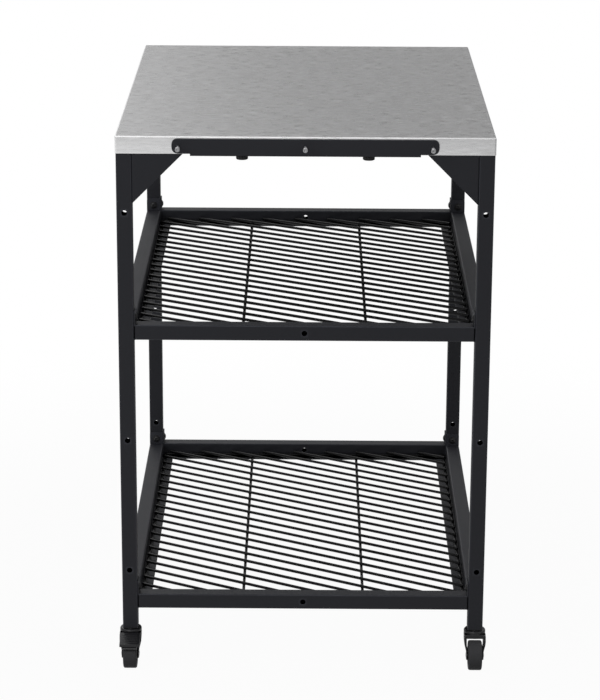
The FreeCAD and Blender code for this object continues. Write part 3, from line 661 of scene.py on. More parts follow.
@dataclass
class Shelf:
    """One shelf: four rails with inner ledges, corner brackets and a rack of slanted wires."""

    level: str
    bottom: float
    ledge_width: float = 20.0
    ledge: float = 3.0
    ledge_sink: float = 1.3
    ledge_edge: float = 0.3
    tip_edge: float = 0.2
    bead: float = 1.6
    bead_rise: float = 1.3
    bead_sink: float = 0.3
    bead_inset: float = 6.0
    wire: float = 2.5
    wire_edge: float = 0.5
    wire_steps: int = 12
    rod_steps: int = 16
    weld_spread: float = 0.5
    weld_rise: float = 0.9
    weld_steps: int = 10
    pitch: float = 30.0
    slant: float = 30.0
    phase: float = 12.0
    end_gap: float = 1.5
    shortest: float = 30.0
    rod_at: float = 100.0
    border_gap: float = 3.5
    bracket_rise: float = 23.0
    bracket_round: float = 4.0
    bracket_flat: float = 14.0
    bracket_bend: float = 1.6
    bracket_edge: float = 0.4

    def build(self) -> None:
        """Makes the rails, the brackets and the rack."""
        for side, axis in RAILS:
            self.rail(side, axis)
        for name, (right, back) in CORNERS.items():
            self.corner_plate(name, right, back)
        self.rack()

    def rail(self, side: str, axis: Axis) -> None:
        """A rail: its tube, the ledge on its inner face and the weld bead along the ledge."""
        node = f"{self.level}_shelf_{side}_rail"
        crossing = axis is Axis.X
        surface = Surface()
        rail_tube(node, axis, (0.0,) if crossing else ()).add(surface)
        low, high = box_mm(node)
        across = 1 if crossing else 0
        inner = INNER_Y if crossing else INNER_X
        sign = math.copysign(1.0, low[across] + high[across])
        base, top = self.bottom, self.bottom + self.ledge
        outline = box_outline(sign * (inner + self.ledge_sink), sign * (inner - self.ledge_width), base, top)
        reach = high[0] if crossing else INNER_Y - self.ledge_width
        surface.slab(soften(outline, 0.7, 4), -reach, reach, self.ledge_edge, axis.value)
        if crossing:
            tips = box_outline(sign * (inner - PLATE), sign * (inner - self.ledge_width + 0.1), base, top)
            reach_in = INNER_X - self.tip_edge
            surface.slab(soften(tips, 0.6, 4), -reach_in, reach_in, self.tip_edge, axis.value)
        bead = soften(np.array([[0.0, -1.0], [self.bead, -1.0], [0.0, self.bead_rise]]), 0.35, 4)
        bead = bead * [-sign, 1.0] + [sign * (inner + self.bead_sink), top]
        reach -= self.bead_inset
        surface.slab(bead if sign < 0 else bead[::-1], -reach, reach, self.ledge_edge, axis.value)
        piece(node + "_tube", surface, POWDER, (node,))

    def corner_plate(self, name: str, right: int, back: int) -> None:
        """A bracket: a plate bent round the leg's inner corner, with rounded upper ends.

        The plate follows the line from one leg face round the bend to the other; at the distance
        s from an end its top falls by r - sqrt(r^2 - (r - s)^2) where s is under r.
        """
        node = f"{self.level}_bracket_{name}"
        top = self.bottom + TUBE + self.bracket_rise
        middle = PLATE / 2
        corner = np.array([INNER_X - middle, INNER_Y - middle])
        turn = np.linspace(0, QUARTER, 6)
        ends = np.concatenate([np.linspace(0, self.bracket_round, 7), [self.bracket_flat]])
        first = np.column_stack([np.full(len(ends), corner[0]), OUTER_Y - ends])
        arc = corner + self.bracket_bend * np.column_stack([1 - np.cos(turn), 1 - np.sin(turn)])
        second = np.column_stack([OUTER_X - ends[::-1], np.full(len(ends), corner[1])])
        line = np.vstack([first, arc, second])
        step = np.gradient(line, axis=0)
        step /= np.linalg.norm(step, axis=1, keepdims=True)
        across = np.column_stack([-step[:, 1], step[:, 0]])
        run = np.concatenate([[0], np.cumsum(np.linalg.norm(np.diff(line, axis=0), axis=1))])
        from_end = np.minimum(np.minimum(run, run[-1] - run), self.bracket_round)
        rest = self.bracket_round - from_end
        tops = top - self.bracket_round + np.sqrt(self.bracket_round ** 2 - rest ** 2)
        side = middle * np.array([-1, -0.7, 0.7, 1, 1, 0.7, -0.7, -1])
        edge = self.bracket_edge
        rings = []
        for spot, normal, high in zip(line, across, tops):
            heights = np.array([self.bottom + edge, self.bottom, self.bottom, self.bottom + edge,
                                high - edge, high, high, high - edge])
            rings.append(raised((spot + normal * side[:, None]) * [right, back], heights))
        surface = Surface()
        surface.loft(np.stack(rings), np.array([[1, 0.5, 0.5, 1, 1, 0.5, 0.5, 1]]))
        piece(node + "_plate", surface, POWDER, (node,))

    def rack(self) -> None:
        """The wires over a border of rods and two cross rods, with a small weld where they cross.

        A wire at the offset d from the middle is the line p = d n + t a, clipped to the rack's
        rectangle, with a along the slant and n across it.
        """
        node = self.level + "_shelf_rack"
        level = self.bottom + self.ledge + self.wire
        lift = 2 * self.wire
        half = np.array([INNER_X, INNER_Y]) - self.end_gap - self.wire
        border = np.array([INNER_X, INNER_Y]) - self.border_gap - self.wire
        turn = math.radians(self.slant)
        along = np.array([math.cos(turn), -math.sin(turn)])
        normal = np.array([math.sin(turn), math.cos(turn)])
        count = int(np.hypot(*half) / self.pitch) + 1
        offsets = np.arange(-count, count + 1) * self.pitch + self.phase * math.cos(turn)
        base = offsets[:, None] * normal
        limits = np.sort(np.stack([(-half - base) / along, (half - base) / along]), axis=0)
        low = limits[0].max(axis=1)
        high = limits[1].min(axis=1)
        kept = high - low > self.shortest
        surface = Surface()
        for spot, start, end in zip(base[kept], low[kept], high[kept]):
            first = np.append(spot + along * start, level + lift)
            last = np.append(spot + along * end, level + lift)
            self.bar(surface, first, last, self.wire_steps)
            self.welds(surface, spot, along, (start, end), border, level + self.wire)
        for side in (-1, 1):
            rods = (([side * border[0], border[1] + self.wire], 1), ([side * self.rod_at, border[1] - self.wire], 1),
                    ([border[0] - self.wire, side * border[1]], 0))
            for corner, way in rods:
                first = np.append(corner, level)
                last = first * np.array([[-1, 1, 1], [1, -1, 1]][way])
                self.bar(surface, first, last, self.rod_steps)
        piece(node + "_wires", surface, WIRE, (node,))

    def bar(self, surface: Surface, first: Array, last: Array, steps: int) -> None:
        """A round wire with slightly rounded ends."""
        length = float(np.linalg.norm(last - first))
        depth, shrink = quarter_round(self.wire_edge, 4).T
        radii = self.wire - shrink
        profile = np.vstack([[0.0, 0.0], np.column_stack([radii, depth]),
                             np.column_stack([radii, length - depth])[::-1], [0.0, length]])
        worn = np.concatenate([[0], np.ones(2 * len(radii)), [0]])
        surface.turned(profile, Place.pointing(first, last - first), steps, worn=worn)

    def welds(self, surface: Surface, spot: Array, along: Array, ends: tuple[float, float],
              border: Array, level: float) -> None:
        """Flattened beads where a wire crosses the rods under it.

        Args:
            surface: the rack's surface.
            spot: the middle of the wire's line.
            along: the way it runs.
            ends: where on the line it starts and ends.
            border: how far the border's rods lie from the middle, each way.
            level: the height at which wire and rods meet.
        """
        lines = [(0, side * reach) for side in (-1, 1) for reach in (self.rod_at, border[0])]
        lines += [(1, side * border[1]) for side in (-1, 1)]
        turn = np.linspace(-QUARTER, QUARTER, 7)
        profile = np.column_stack([(self.wire + self.weld_spread) * np.cos(turn), self.weld_rise * np.sin(turn)])
        for axis, reach in lines:
            value = (reach - spot[axis]) / along[axis]
            if ends[0] < value < ends[1]:
                surface.turned(profile, Place(tuple(np.append(spot + along * value, level))), self.weld_steps)


@dataclass
class CornerGussets:
    """The folded triangular plates between the legs and the rails under the sheet."""

    side: float = 82.0
    flange: float = 20.0
    tip: float = 1.0
    bend: float = 2.8
    overlap: float = 3.0
    seam: float = 0.02

    def build(self) -> None:
        """Makes the four gussets."""
        for name, (right, back) in CORNERS.items():
            surface = Surface()
            self.plate(surface, right, back)
            self.folds(surface, right, back)
            piece(f"gusset_{name}_plate", surface, POWDER, ("gusset_" + name,))

    def plate(self, surface: Surface, right: int, back: int) -> None:
        """The triangle, in the plane of the leg's outer face, between the two folds."""
        x = INNER_X - self.bend
        z = LEG_TOP - self.bend
        reach = self.side + self.tip - 2 * self.bend
        corners = np.array([[x, z], [x - reach, z], [x, z - reach]])
        outline = soften(corners * [right, 1.0], np.array([0.4, 1.2, 1.2]), 5)
        place = Place((0, back * OUTER_Y, 0), (1, 0, 0), (0, 0, 1), (0, -back, 0))
        surface.slab(outline if right > 0 else outline[::-1], 0.0, PLATE, 0.35, place)

    def folds(self, surface: Surface, right: int, back: int) -> None:
        """The two flanges, each a bent section carried from the corner to the slanted edge.

        The far end is cut along the triangle's long side: a point at the depth d under the
        outer face ends at side + tip - d.
        """
        outer = quarter_round(self.bend, 6)
        inner = PLATE + quarter_round(self.bend - PLATE, 6)[:, ::-1]
        depth = self.flange + PLATE
        lap = self.bend + self.overlap
        section = np.vstack([[self.seam, lap], outer, [depth, 0.0], [depth, PLATE], inner, [PLATE - self.seam, lap]])
        corner = (right * INNER_X, back * OUTER_Y, LEG_TOP)
        across = (-right, 0, 0)
        down = (0, 0, -1)
        for rise, run in ((down, across), (across, down)):
            place = Place(corner, (0, -back, 0), rise, run)
            ends = (0.0, self.side + self.tip - np.maximum(section[:, 1], self.tip))
            surface.loft(np.stack([place.world(raised(section, end)) for end in ends]))


@dataclass
class Fasteners:
    """The flanged button heads on the brackets and gussets."""

    flange: float = 6.8
    flange_high: float = 1.2
    head: float = 5.25
    high: float = 3.3
    socket: float = 4.0
    depth: float = 1.8
    shank: float = 3.0
    grip: float = 6.5
    chamfer: float = 0.6
    steps: int = 24
    levels: tuple[float, ...] = (601.0, 137.0)
    gusset_reach: tuple[float, ...] = (22.0, 54.0)

    def places(self) -> list[tuple[Array, Array]]:
        """Each screw's seat and the way its head points."""
        found = []
        for right, back in CORNERS.values():
            inwards = (-right, 0, 0)
            for level in self.levels:
                found.append(((right * INNER_X, back * LEG_Y, level), inwards))
                found.append(((right * LEG_X, back * INNER_Y, level), (0, -back, 0)))
            for reach in self.gusset_reach:
                found.append(((right * INNER_X, back * LEG_Y, LEG_TOP - reach), inwards))
                found.append(((right * (INNER_X - reach), back * LEG_Y, LEG_TOP), (0, 0, -1)))
        return [(np.array(spot) + np.array(way) * PLATE, np.array(way, float)) for spot, way in found]

    def build(self) -> None:
        """Makes all screws as one piece.

        A head is turned from its dome profile; in the socket's rows the radius follows a hexagon,
        apothem / cos(angle to the nearest flat's middle).
        """
        angle = np.linspace(0, 2 * math.pi, self.steps, endpoint=False)
        hexagon = 1 / np.cos((angle % (math.pi / 3)) - math.pi / 6)
        apothem = self.socket / 2
        floor = self.high - self.depth
        rim = np.linspace(QUARTER, 0.25, 7)
        dome = [0, self.flange_high] + np.column_stack([np.sin(rim), np.cos(rim)]) * [
            self.head, self.high - self.flange_high]
        dome = dome[dome[:, 0] > apothem * 1.3]
        round_edge = np.linspace(-QUARTER, QUARTER, 5)
        edge = self.flange_high / 2
        skirt = np.column_stack([self.flange - edge * (1 - np.cos(round_edge)), edge + edge * np.sin(round_edge)])
        recess = [[0.0, floor - 0.4], [apothem, floor], [apothem, self.high - 0.35],
                  [apothem * 1.1, self.high - 0.12]]
        shank = [[self.shank, 0.0], [self.shank, self.chamfer - self.grip], [self.shank - self.chamfer, -self.grip],
                 [0.0, -self.grip]]
        profile = np.vstack([recess, dome[::-1], skirt[::-1], shank])
        reach = np.ones((len(profile), self.steps))
        reach[:len(recess)] = hexagon
        worn = np.zeros(len(profile))
        worn[2:5] = 1.0
        worn[-8:-5] = 0.7
        surface = Surface()
        for spot, way in self.places():
            surface.turned(profile, Place.pointing(spot, way), self.steps, reach, worn)
        piece("frame_screw_heads", surface, SCREW, ("frame_screws",))


# The knob's rows: a radius, a height and how deep the flutes cut there.
KNOB_ROWS = np.array([
    [0.0, 0.0, 0.0], [6.4, 0.0, 0.0], [7.0, 0.25, 0.0], [8.6, 0.3, 0.1], [9.2, 0.7, 0.6], [9.5, 1.4, 1.0],
    [9.5, 5.3, 1.0], [9.2, 6.1, 0.6], [8.6, 6.5, 0.2], [7.4, 6.7, 0.0], [3.4, 6.7, 0.0]])
# Radii and heights of the thumbscrews' washers, and of the grooves and dimples in the pegs' heads.
WASHER_ROWS = np.array([[3.3, 0.1], [3.5, 0.0], [6.5, 0.0], [6.75, 0.15], [6.8, 0.5], [6.75, 0.85], [6.5, 1.0],
                        [3.5, 1.0], [3.3, 0.9], [3.3, 0.1]])
GROOVE_ROWS = np.array([[0.0, 0.6], [-0.2, 0.9], [-0.2, 1.2], [0.0, 1.5]])
DIMPLE_ROWS = np.array([[2.1, -0.05], [1.8, -0.35], [1.7, -2.0], [0.0, -2.6]])


@dataclass
class ToolRail:
    """The black rail on the front skirt with its three pegs and two thumbscrews."""

    front: float = -403.0
    back: float = -400.0
    half: float = 210.5
    bottom: float = 873.0
    top: float = 896.5
    top_round: float = 10.0
    bottom_round: float = 11.5
    flange_half: float = 181.5
    flange_bottom: float = 869.0
    flange_depth: float = 27.0
    overlap: float = 8.0
    seam: float = 0.03
    thickness: float = 3.0
    bend: float = 2.4
    peg_at: float = 200.0
    peg_length: float = 26.0
    peg_head: float = 3.9
    peg_neck: float = 1.7
    peg_neck_length: float = 2.0
    peg_head_length: float = 4.6
    peg_edge: float = 1.1
    peg_steps: int = 40
    thumb_at: float = 100.0
    thumb_y: float = -386.5
    washer: float = 1.0
    washer_steps: int = 36
    knob_high: float = 6.7
    knob_middle: float = 2.0
    flutes: int = 12
    flute_steps: int = 10
    shank: float = 3.0
    shank_length: float = 17.0
    shank_tip: float = 2.2
    thread_length: float = 16.4
    thread_depth: float = 0.5
    thread_rows: int = 83

    def build(self) -> None:
        """Makes the rail, its pegs, the washers and the knobs."""
        self.rail()
        self.pegs()
        for name, side in (("left", -1), ("right", 1)):
            self.thumbscrew(name, side)

    def rail(self) -> None:
        """The front plate with rounded ends and the flange bent back under the skirt."""
        surface = Surface()
        corners = box_outline(-self.half, self.half, self.bottom, self.top)
        reach = np.array([self.bottom_round, self.bottom_round, self.top_round, self.top_round])
        face = Place((0, self.back, 0), (1, 0, 0), (0, 0, 1), (0, -1, 0))
        surface.slab(soften(corners, reach, 12), 0.0, self.thickness, 0.4, face)
        outer = quarter_round(self.bend, 8) + [self.seam, 0.0]
        lap = self.bend + self.overlap
        inside = self.thickness - self.seam
        section = np.vstack([[self.seam, lap], outer, [self.flange_depth, 0.0], [self.flange_depth, self.thickness],
                             [inside, self.thickness], [inside, lap]])
        under = Place((0, self.front, self.flange_bottom), (0, 1, 0), (0, 0, 1), (1, 0, 0))
        surface.slab(upright(section), -self.flange_half, self.flange_half, 0.3, under, 3)
        piece("tool_rail_plate", surface, POWDER, ("tool_rail",))

    def pegs(self) -> None:
        """Three turned pegs: a neck, a long taper and a rounded head with a groove and a deep dimple."""
        length, head, neck = self.peg_length, self.peg_head, self.peg_neck
        start = length - self.peg_head_length
        rim = [head, length] - quarter_round(self.peg_edge, 6)
        taper = np.linspace(0, 1, 6)
        flank = np.column_stack([neck + (head - neck) * taper,
                                 self.peg_neck_length + (start - self.peg_neck_length) * taper])
        profile = np.vstack([[0.0, -self.thickness], [neck, -self.thickness], flank, GROOVE_ROWS + [head, start],
                             rim, DIMPLE_ROWS + [0.0, length]])
        surface = Surface()
        level = (self.bottom + self.top) / 2
        for index in (-1, 0, 1):
            spot = np.array([index * self.peg_at, self.front, level])
            surface.turned(profile, Place.pointing(spot, np.array([0.0, -1.0, 0.0])), self.peg_steps)
        piece("tool_rail_pegs_turned", surface, PEG, ("tool_rail_pegs",))

    def thumbscrew(self, name: str, side: int) -> None:
        """A knob with rounded flutes on a threaded shank, and its washer.

        The knob's rows are a radius, a height and how deep the flutes cut, at the angle a by
        (1 - cos(n a))^2 / 4; the shank's radius is r minus the saw of a / 2 pi + z / pitch.
        """
        place = Place((side * self.thumb_at, self.thumb_y, self.flange_bottom - self.washer))
        steps = self.flutes * self.flute_steps
        angle = np.linspace(0, 2 * math.pi, steps, endpoint=False)
        radius, level, cut = KNOB_ROWS.T
        flute = ((1 - np.cos(self.flutes * angle)) / 2) ** 2
        reach = 1 - cut[:, None] * flute / np.maximum(radius, 1.0)[:, None]
        worn = np.clip(cut * 1.2, 0, 1) * (np.abs(level - self.knob_high / 2) > self.knob_middle)
        surface = Surface()
        foot = Place((place.origin[0], place.origin[1], place.origin[2] - self.knob_high))
        surface.turned(np.vstack([KNOB_ROWS[:, :2], [0.0, self.knob_high]]), foot, steps,
                       np.vstack([reach, reach[-1:]]), np.append(worn, 0))
        height = np.linspace(0.0, self.thread_length, self.thread_rows)
        phase = (angle[None, ::5] / (2 * math.pi) + height[:, None]) % 1.0
        share = 1 - self.thread_depth * np.abs(2 * phase - 1) / self.shank
        profile = np.vstack([[0.0, -0.5], np.column_stack([np.full_like(height, self.shank), height]),
                             [self.shank_tip, self.shank_length], [0.0, self.shank_length]])
        reach = np.vstack([np.ones((1, phase.shape[1])), share, np.ones((2, phase.shape[1]))])
        surface.turned(profile, place, phase.shape[1], reach)
        piece(f"thumbscrew_{name}_knob", surface, KNOB, ("thumbscrew_" + name,), "thumbscrew_body_" + name)
        ring = Surface()
        ring.turned(WASHER_ROWS, place, self.washer_steps)
        piece(f"thumbscrew_{name}_washer", ring, SCREW, ("thumbscrew_washer_" + name,), "washer_body_" + name)


# The groove round the casters' crowns and the wheels' dished sides: radii, and heights from the top or the side.
CROWN_GROOVE = np.array([[13.4, 0.0], [13.1, -0.25], [12.9, -0.6], [12.6, -0.6], [12.4, -0.2], [12.1, 0.0]])
WHEEL_SIDE = np.array([[21.0, 0.0], [19.2, 0.0], [18.6, -0.3], [18.0, -1.6], [17.2, -2.8], [16.4, -3.0],
                       [9.0, -3.0], [7.6, -2.7], [7.0, -1.6], [6.7, -0.3], [6.2, 0.0], [2.58, 0.0]])
# A cheek's rows: a level with the front, the rear, the inner and the outer limit.
CHEEK_ROWS = np.array([
    [17.5, -24.0, -18.0, 12.2, 13.9], [17.9, -25.2, -16.8, 11.8, 14.3], [18.6, -26.2, -15.8, 11.7, 14.4],
    [20.0, -27.3, -14.7, 11.7, 14.4], [22.0, -28.1, -13.9, 11.7, 14.4], [25.0, -28.5, -13.5, 11.7, 14.4],
    [28.5, -28.0, -12.4, 11.7, 14.4], [32.0, -26.7, -10.0, 11.7, 14.5], [34.0, -25.8, -8.6, 11.9, 14.9],
    [36.0, -25.1, -7.5, 12.6, 15.5], [38.5, -24.3, -6.1, 13.3, 16.2], [41.5, -23.4, -4.5, 13.6, 17.0],
    [44.5, -22.5, -2.9, 13.6, 17.6], [48.0, -21.4, -1.0, 13.6, 18.0], [53.0, -19.9, 1.7, 13.6, 18.0],
    [56.0, -18.9, 3.4, 13.6, 18.0], [57.6, -18.3, 4.2, 13.6, 17.7], [58.5, -17.7, 4.2, 13.7, 17.2],
    [59.0, -16.9, 3.6, 14.0, 16.5]])
# The pedal's plate and arm seen along the axle, in the caster's own Y and Z.
PEDAL_PLATE = np.array([[-19.2, 61.0], [-19.2, 58.0], [-45.0, 49.0], [-45.0, 46.4], [-48.0, 46.4], [-48.0, 51.0]])
PEDAL_ARM = np.array([[-19.2, 59.5], [-42.0, 51.0], [-40.0, 44.0], [-18.0, 42.6], [-18.0, 49.4], [-19.2, 51.4]])


@dataclass
class Caster:
    """One caster: fork, wheel, axle and, where it has one, the brake pedal."""

    name: str
    right: int
    back: int
    trail: float = 21.0
    wheel: float = 25.0
    width: float = 22.5
    wheel_edge: float = 3.0
    wheel_crown: float = 0.12
    wheel_steps: int = 72
    crown: float = 18.0
    crown_low: float = 52.3
    crown_high: float = 64.5
    shoulder: float = 3.0
    crown_edge: float = 0.5
    mouth_edge: float = 0.4
    bridge_high: float = 59.0
    bridge_lift: float = 0.02
    bridge_rear: float = -6.0
    bridge_round: tuple[float, ...] = (5.5, 5.5, 1.0, 1.0)
    bridge_edge: float = 1.0
    stem: float = 4.08
    cheek_out: float = 14.4
    cheek_round: float = 1.3
    axle: float = 2.5
    axle_head: float = 0.9
    pedal_half: float = 16.5
    pedal_round: tuple[float, ...] = (0.9, 0.9, 1.0, 0.9, 0.9, 1.6)
    pedal_edge: float = 0.9
    pivot: tuple[float, float] = (-18.0, 46.0)
    arm_in: float = 11.75
    arm: float = 1.6
    arm_round: float = 1.2
    arm_edge: float = 0.4
    ribs: int = 5
    rib_first: float = 8.0
    rib_pitch: float = 4.2
    rib_inset: float = 3.0
    shoe: tuple[float, float] = (27.5, 31.0)
    shoe_span: tuple[float, float] = (33.5, 56.5)

    def place(self, x: float = 0.0, y: float = 0.0, z: float = 0.0, way: int = 0) -> Place:
        """A frame at a point of the caster, which trails towards its own -Y, away from the table's middle.

        Args:
            x: the point's first value.
            y: its second value.
            z: its third value.
            way: 0 for the caster's own axes, or the sign of its X that becomes the third axis
                after its Y and Z.

        Returns:
            The frame.
        """
        turn = -self.back
        origin = (self.right * LEG_X + turn * x, self.back * LEG_Y + turn * y, z)
        if way:
            return Place(origin, (0, turn, 0), (0, 0, 1), (turn * way, 0, 0))
        return Place(origin, (turn, 0, 0), (0, turn, 0), (0, 0, 1))

    def keep(self, surface: Surface, finish: Finish, part: str, node: str, body: str) -> None:
        """Puts a part of the caster into the scene."""
        piece(f"caster_{self.name}_{part}", surface, finish, (f"{node}_{self.name}",), f"{body}_{self.name}")

    def build(self, braked: bool) -> None:
        """Makes the caster's pieces on their bodies."""
        self.fork()
        self.rolling()
        self.pin()
        if braked:
            self.pedal()

    def fork(self) -> None:
        """The crown with its rounded shoulder and ring, the bridge over the wheel and two cheeks."""
        surface = Surface()
        top, low, crown, stem = self.crown_high, self.crown_low, self.crown, self.stem
        rim = [crown, top] - quarter_round(self.shoulder, 8)
        mouth = [[stem + self.mouth_edge, top], [stem, top - self.mouth_edge], [stem, low]]
        foot = [[stem, low], [crown - self.crown_edge, low], [crown, low + self.crown_edge]]
        surface.turned(np.vstack([foot, rim, CROWN_GROOVE + [0, top], mouth]), self.place(), self.wheel_steps)
        bridge = soften(box_outline(-crown, crown, -crown, self.bridge_rear), np.array(self.bridge_round), 9)
        surface.slab(bridge, low + self.bridge_lift, self.bridge_high, self.bridge_edge, self.place(), 5)
        for way in (-1, 1):
            self.cheek(surface, way)
        self.keep(surface, CASTER, "fork", "caster_fork", "caster")

    def cheek(self, surface: Surface, way: int) -> None:
        """One cheek: rounded rectangles stacked from the axle boss up to the hood's top.

        Levels between the rows of the table are joined by straight lines.
        """
        heights, *limits = CHEEK_ROWS.T
        levels = np.concatenate([heights[:7], np.linspace(heights[7], heights[15], 17), heights[16:]])
        rings = []
        for level in levels:
            front, rear, inner, outer = (np.interp(level, heights, limit) for limit in limits)
            corners = box_outline(way * inner, way * outer, front, rear)
            rings.append(raised(soften(corners, min(self.cheek_round, (outer - inner) * 0.45), 5), level))
        surface.loft(self.place().world(np.stack(rings)))

    def rolling(self) -> None:
        """The wheel: a slightly crowned tread with round shoulders, a mould line, a dished web and a hub."""
        half = self.width / 2
        run = half - self.wheel_edge
        tread = np.linspace(-1, 1, 9)
        crowned = self.wheel - self.wheel_crown * tread ** 2
        crowned[len(tread) // 2] -= self.wheel_crown
        shoulder = [self.wheel - self.wheel_crown, half] - quarter_round(self.wheel_edge, 7)
        right = np.vstack([shoulder, WHEEL_SIDE + [0, half]])
        left = right[::-1] * [1, -1]
        profile = np.vstack([left, np.column_stack([crowned, tread * run])[1:-1], right, left[:1]])
        surface = Surface()
        surface.turned(profile, self.place(0.0, -self.trail, self.wheel, 1), self.wheel_steps)
        self.keep(surface, TREAD, "wheel", "caster_wheel", "wheel")

    def pin(self) -> None:
        """The riveted axle with a domed head on each side."""
        high = self.axle_head
        head = np.array([[0.0, high], [1.8, high], [3.1, 0.8 * high], [4.1, 0.5 * high], [4.5, 0.15], [4.5, 0.0],
                         [self.axle, 0.0]])
        right = head + [0, self.cheek_out]
        surface = Surface()
        surface.turned(np.vstack([right, right[::-1] * [1, -1]]), self.place(0.0, -self.trail, self.wheel, 1), 32)
        self.keep(surface, ZINC, "axle", "caster_axle", "caster")

    def pedal(self) -> None:
        """The pedal: a ribbed plate with a lip, two arms with pivots and the shoe over the wheel."""
        surface = Surface()
        flat = self.place(way=1)
        outline = soften(upright(PEDAL_PLATE), np.array(self.pedal_round), 6)
        surface.slab(outline, -self.pedal_half, self.pedal_half, self.pedal_edge, flat)
        slope = PEDAL_PLATE[-1] - PEDAL_PLATE[0]
        slope /= np.linalg.norm(slope)
        rib = soften(box_outline(-0.8, 0.8, -0.5, 0.5), 0.45, 5) @ np.array([slope, [slope[1], -slope[0]]])
        reach = self.pedal_half - self.rib_inset
        for index in range(self.ribs):
            spot = PEDAL_PLATE[0] + slope * (self.rib_first + self.rib_pitch * index)
            surface.slab(upright(rib + spot), -reach, reach, self.arm_edge, flat, 3)
        outline = soften(upright(PEDAL_ARM), self.arm_round, 5)
        start, end = self.arm_in, self.arm_in + self.arm
        pivot = np.array([[0.0, start], [3.2, start], [3.4, start + 0.3], [3.4, end], [1.8, end], [1.8, 17.5],
                          [1.4, 18.0], [0.0, 18.0]])
        for way in (-1, 1):
            surface.slab(outline, 0.0, self.arm, self.arm_edge, self.place(way * start, way=way), 3)
            surface.turned(pivot, self.place(0.0, *self.pivot, way), 24)
        turn = np.radians(np.linspace(*self.shoe_span, 9))
        arc = np.column_stack([-np.cos(turn), np.sin(turn)])
        near, far = self.shoe
        shoe = np.vstack([near * arc, far * arc[::-1]]) + [-self.trail, self.wheel]
        surface.slab(upright(shoe), -self.arm_in, self.arm_in, 0.3, flat, 3)
        self.keep(surface, CASTER, "pedal", "brake_pedal", "pedal")


@dataclass
class KeptNodes:
    """The CAD nodes whose shape is right: each gets its finish."""

    finishes: dict[str, Finish] = field(default_factory=lambda: {
        "leg_plugs": CASTER, "caster_stems": ZINC, "frame_inserts": ZINC, "thumbscrew_inserts": ZINC,
        "sheet_channel_front": GALVANIZED, "sheet_channel_rear": GALVANIZED})

    def dress(self) -> None:
        """Puts the finishes into the nodes' material slots."""
        for node, finish in self.finishes.items():
            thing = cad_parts[node]
            if not thing.material_slots:
                thing.data.materials.append(finish.material())
            for slot in thing.material_slots:
                slot.material = finish.material()
            log.info("%s keeps its shape and gets %s", node, finish.name)


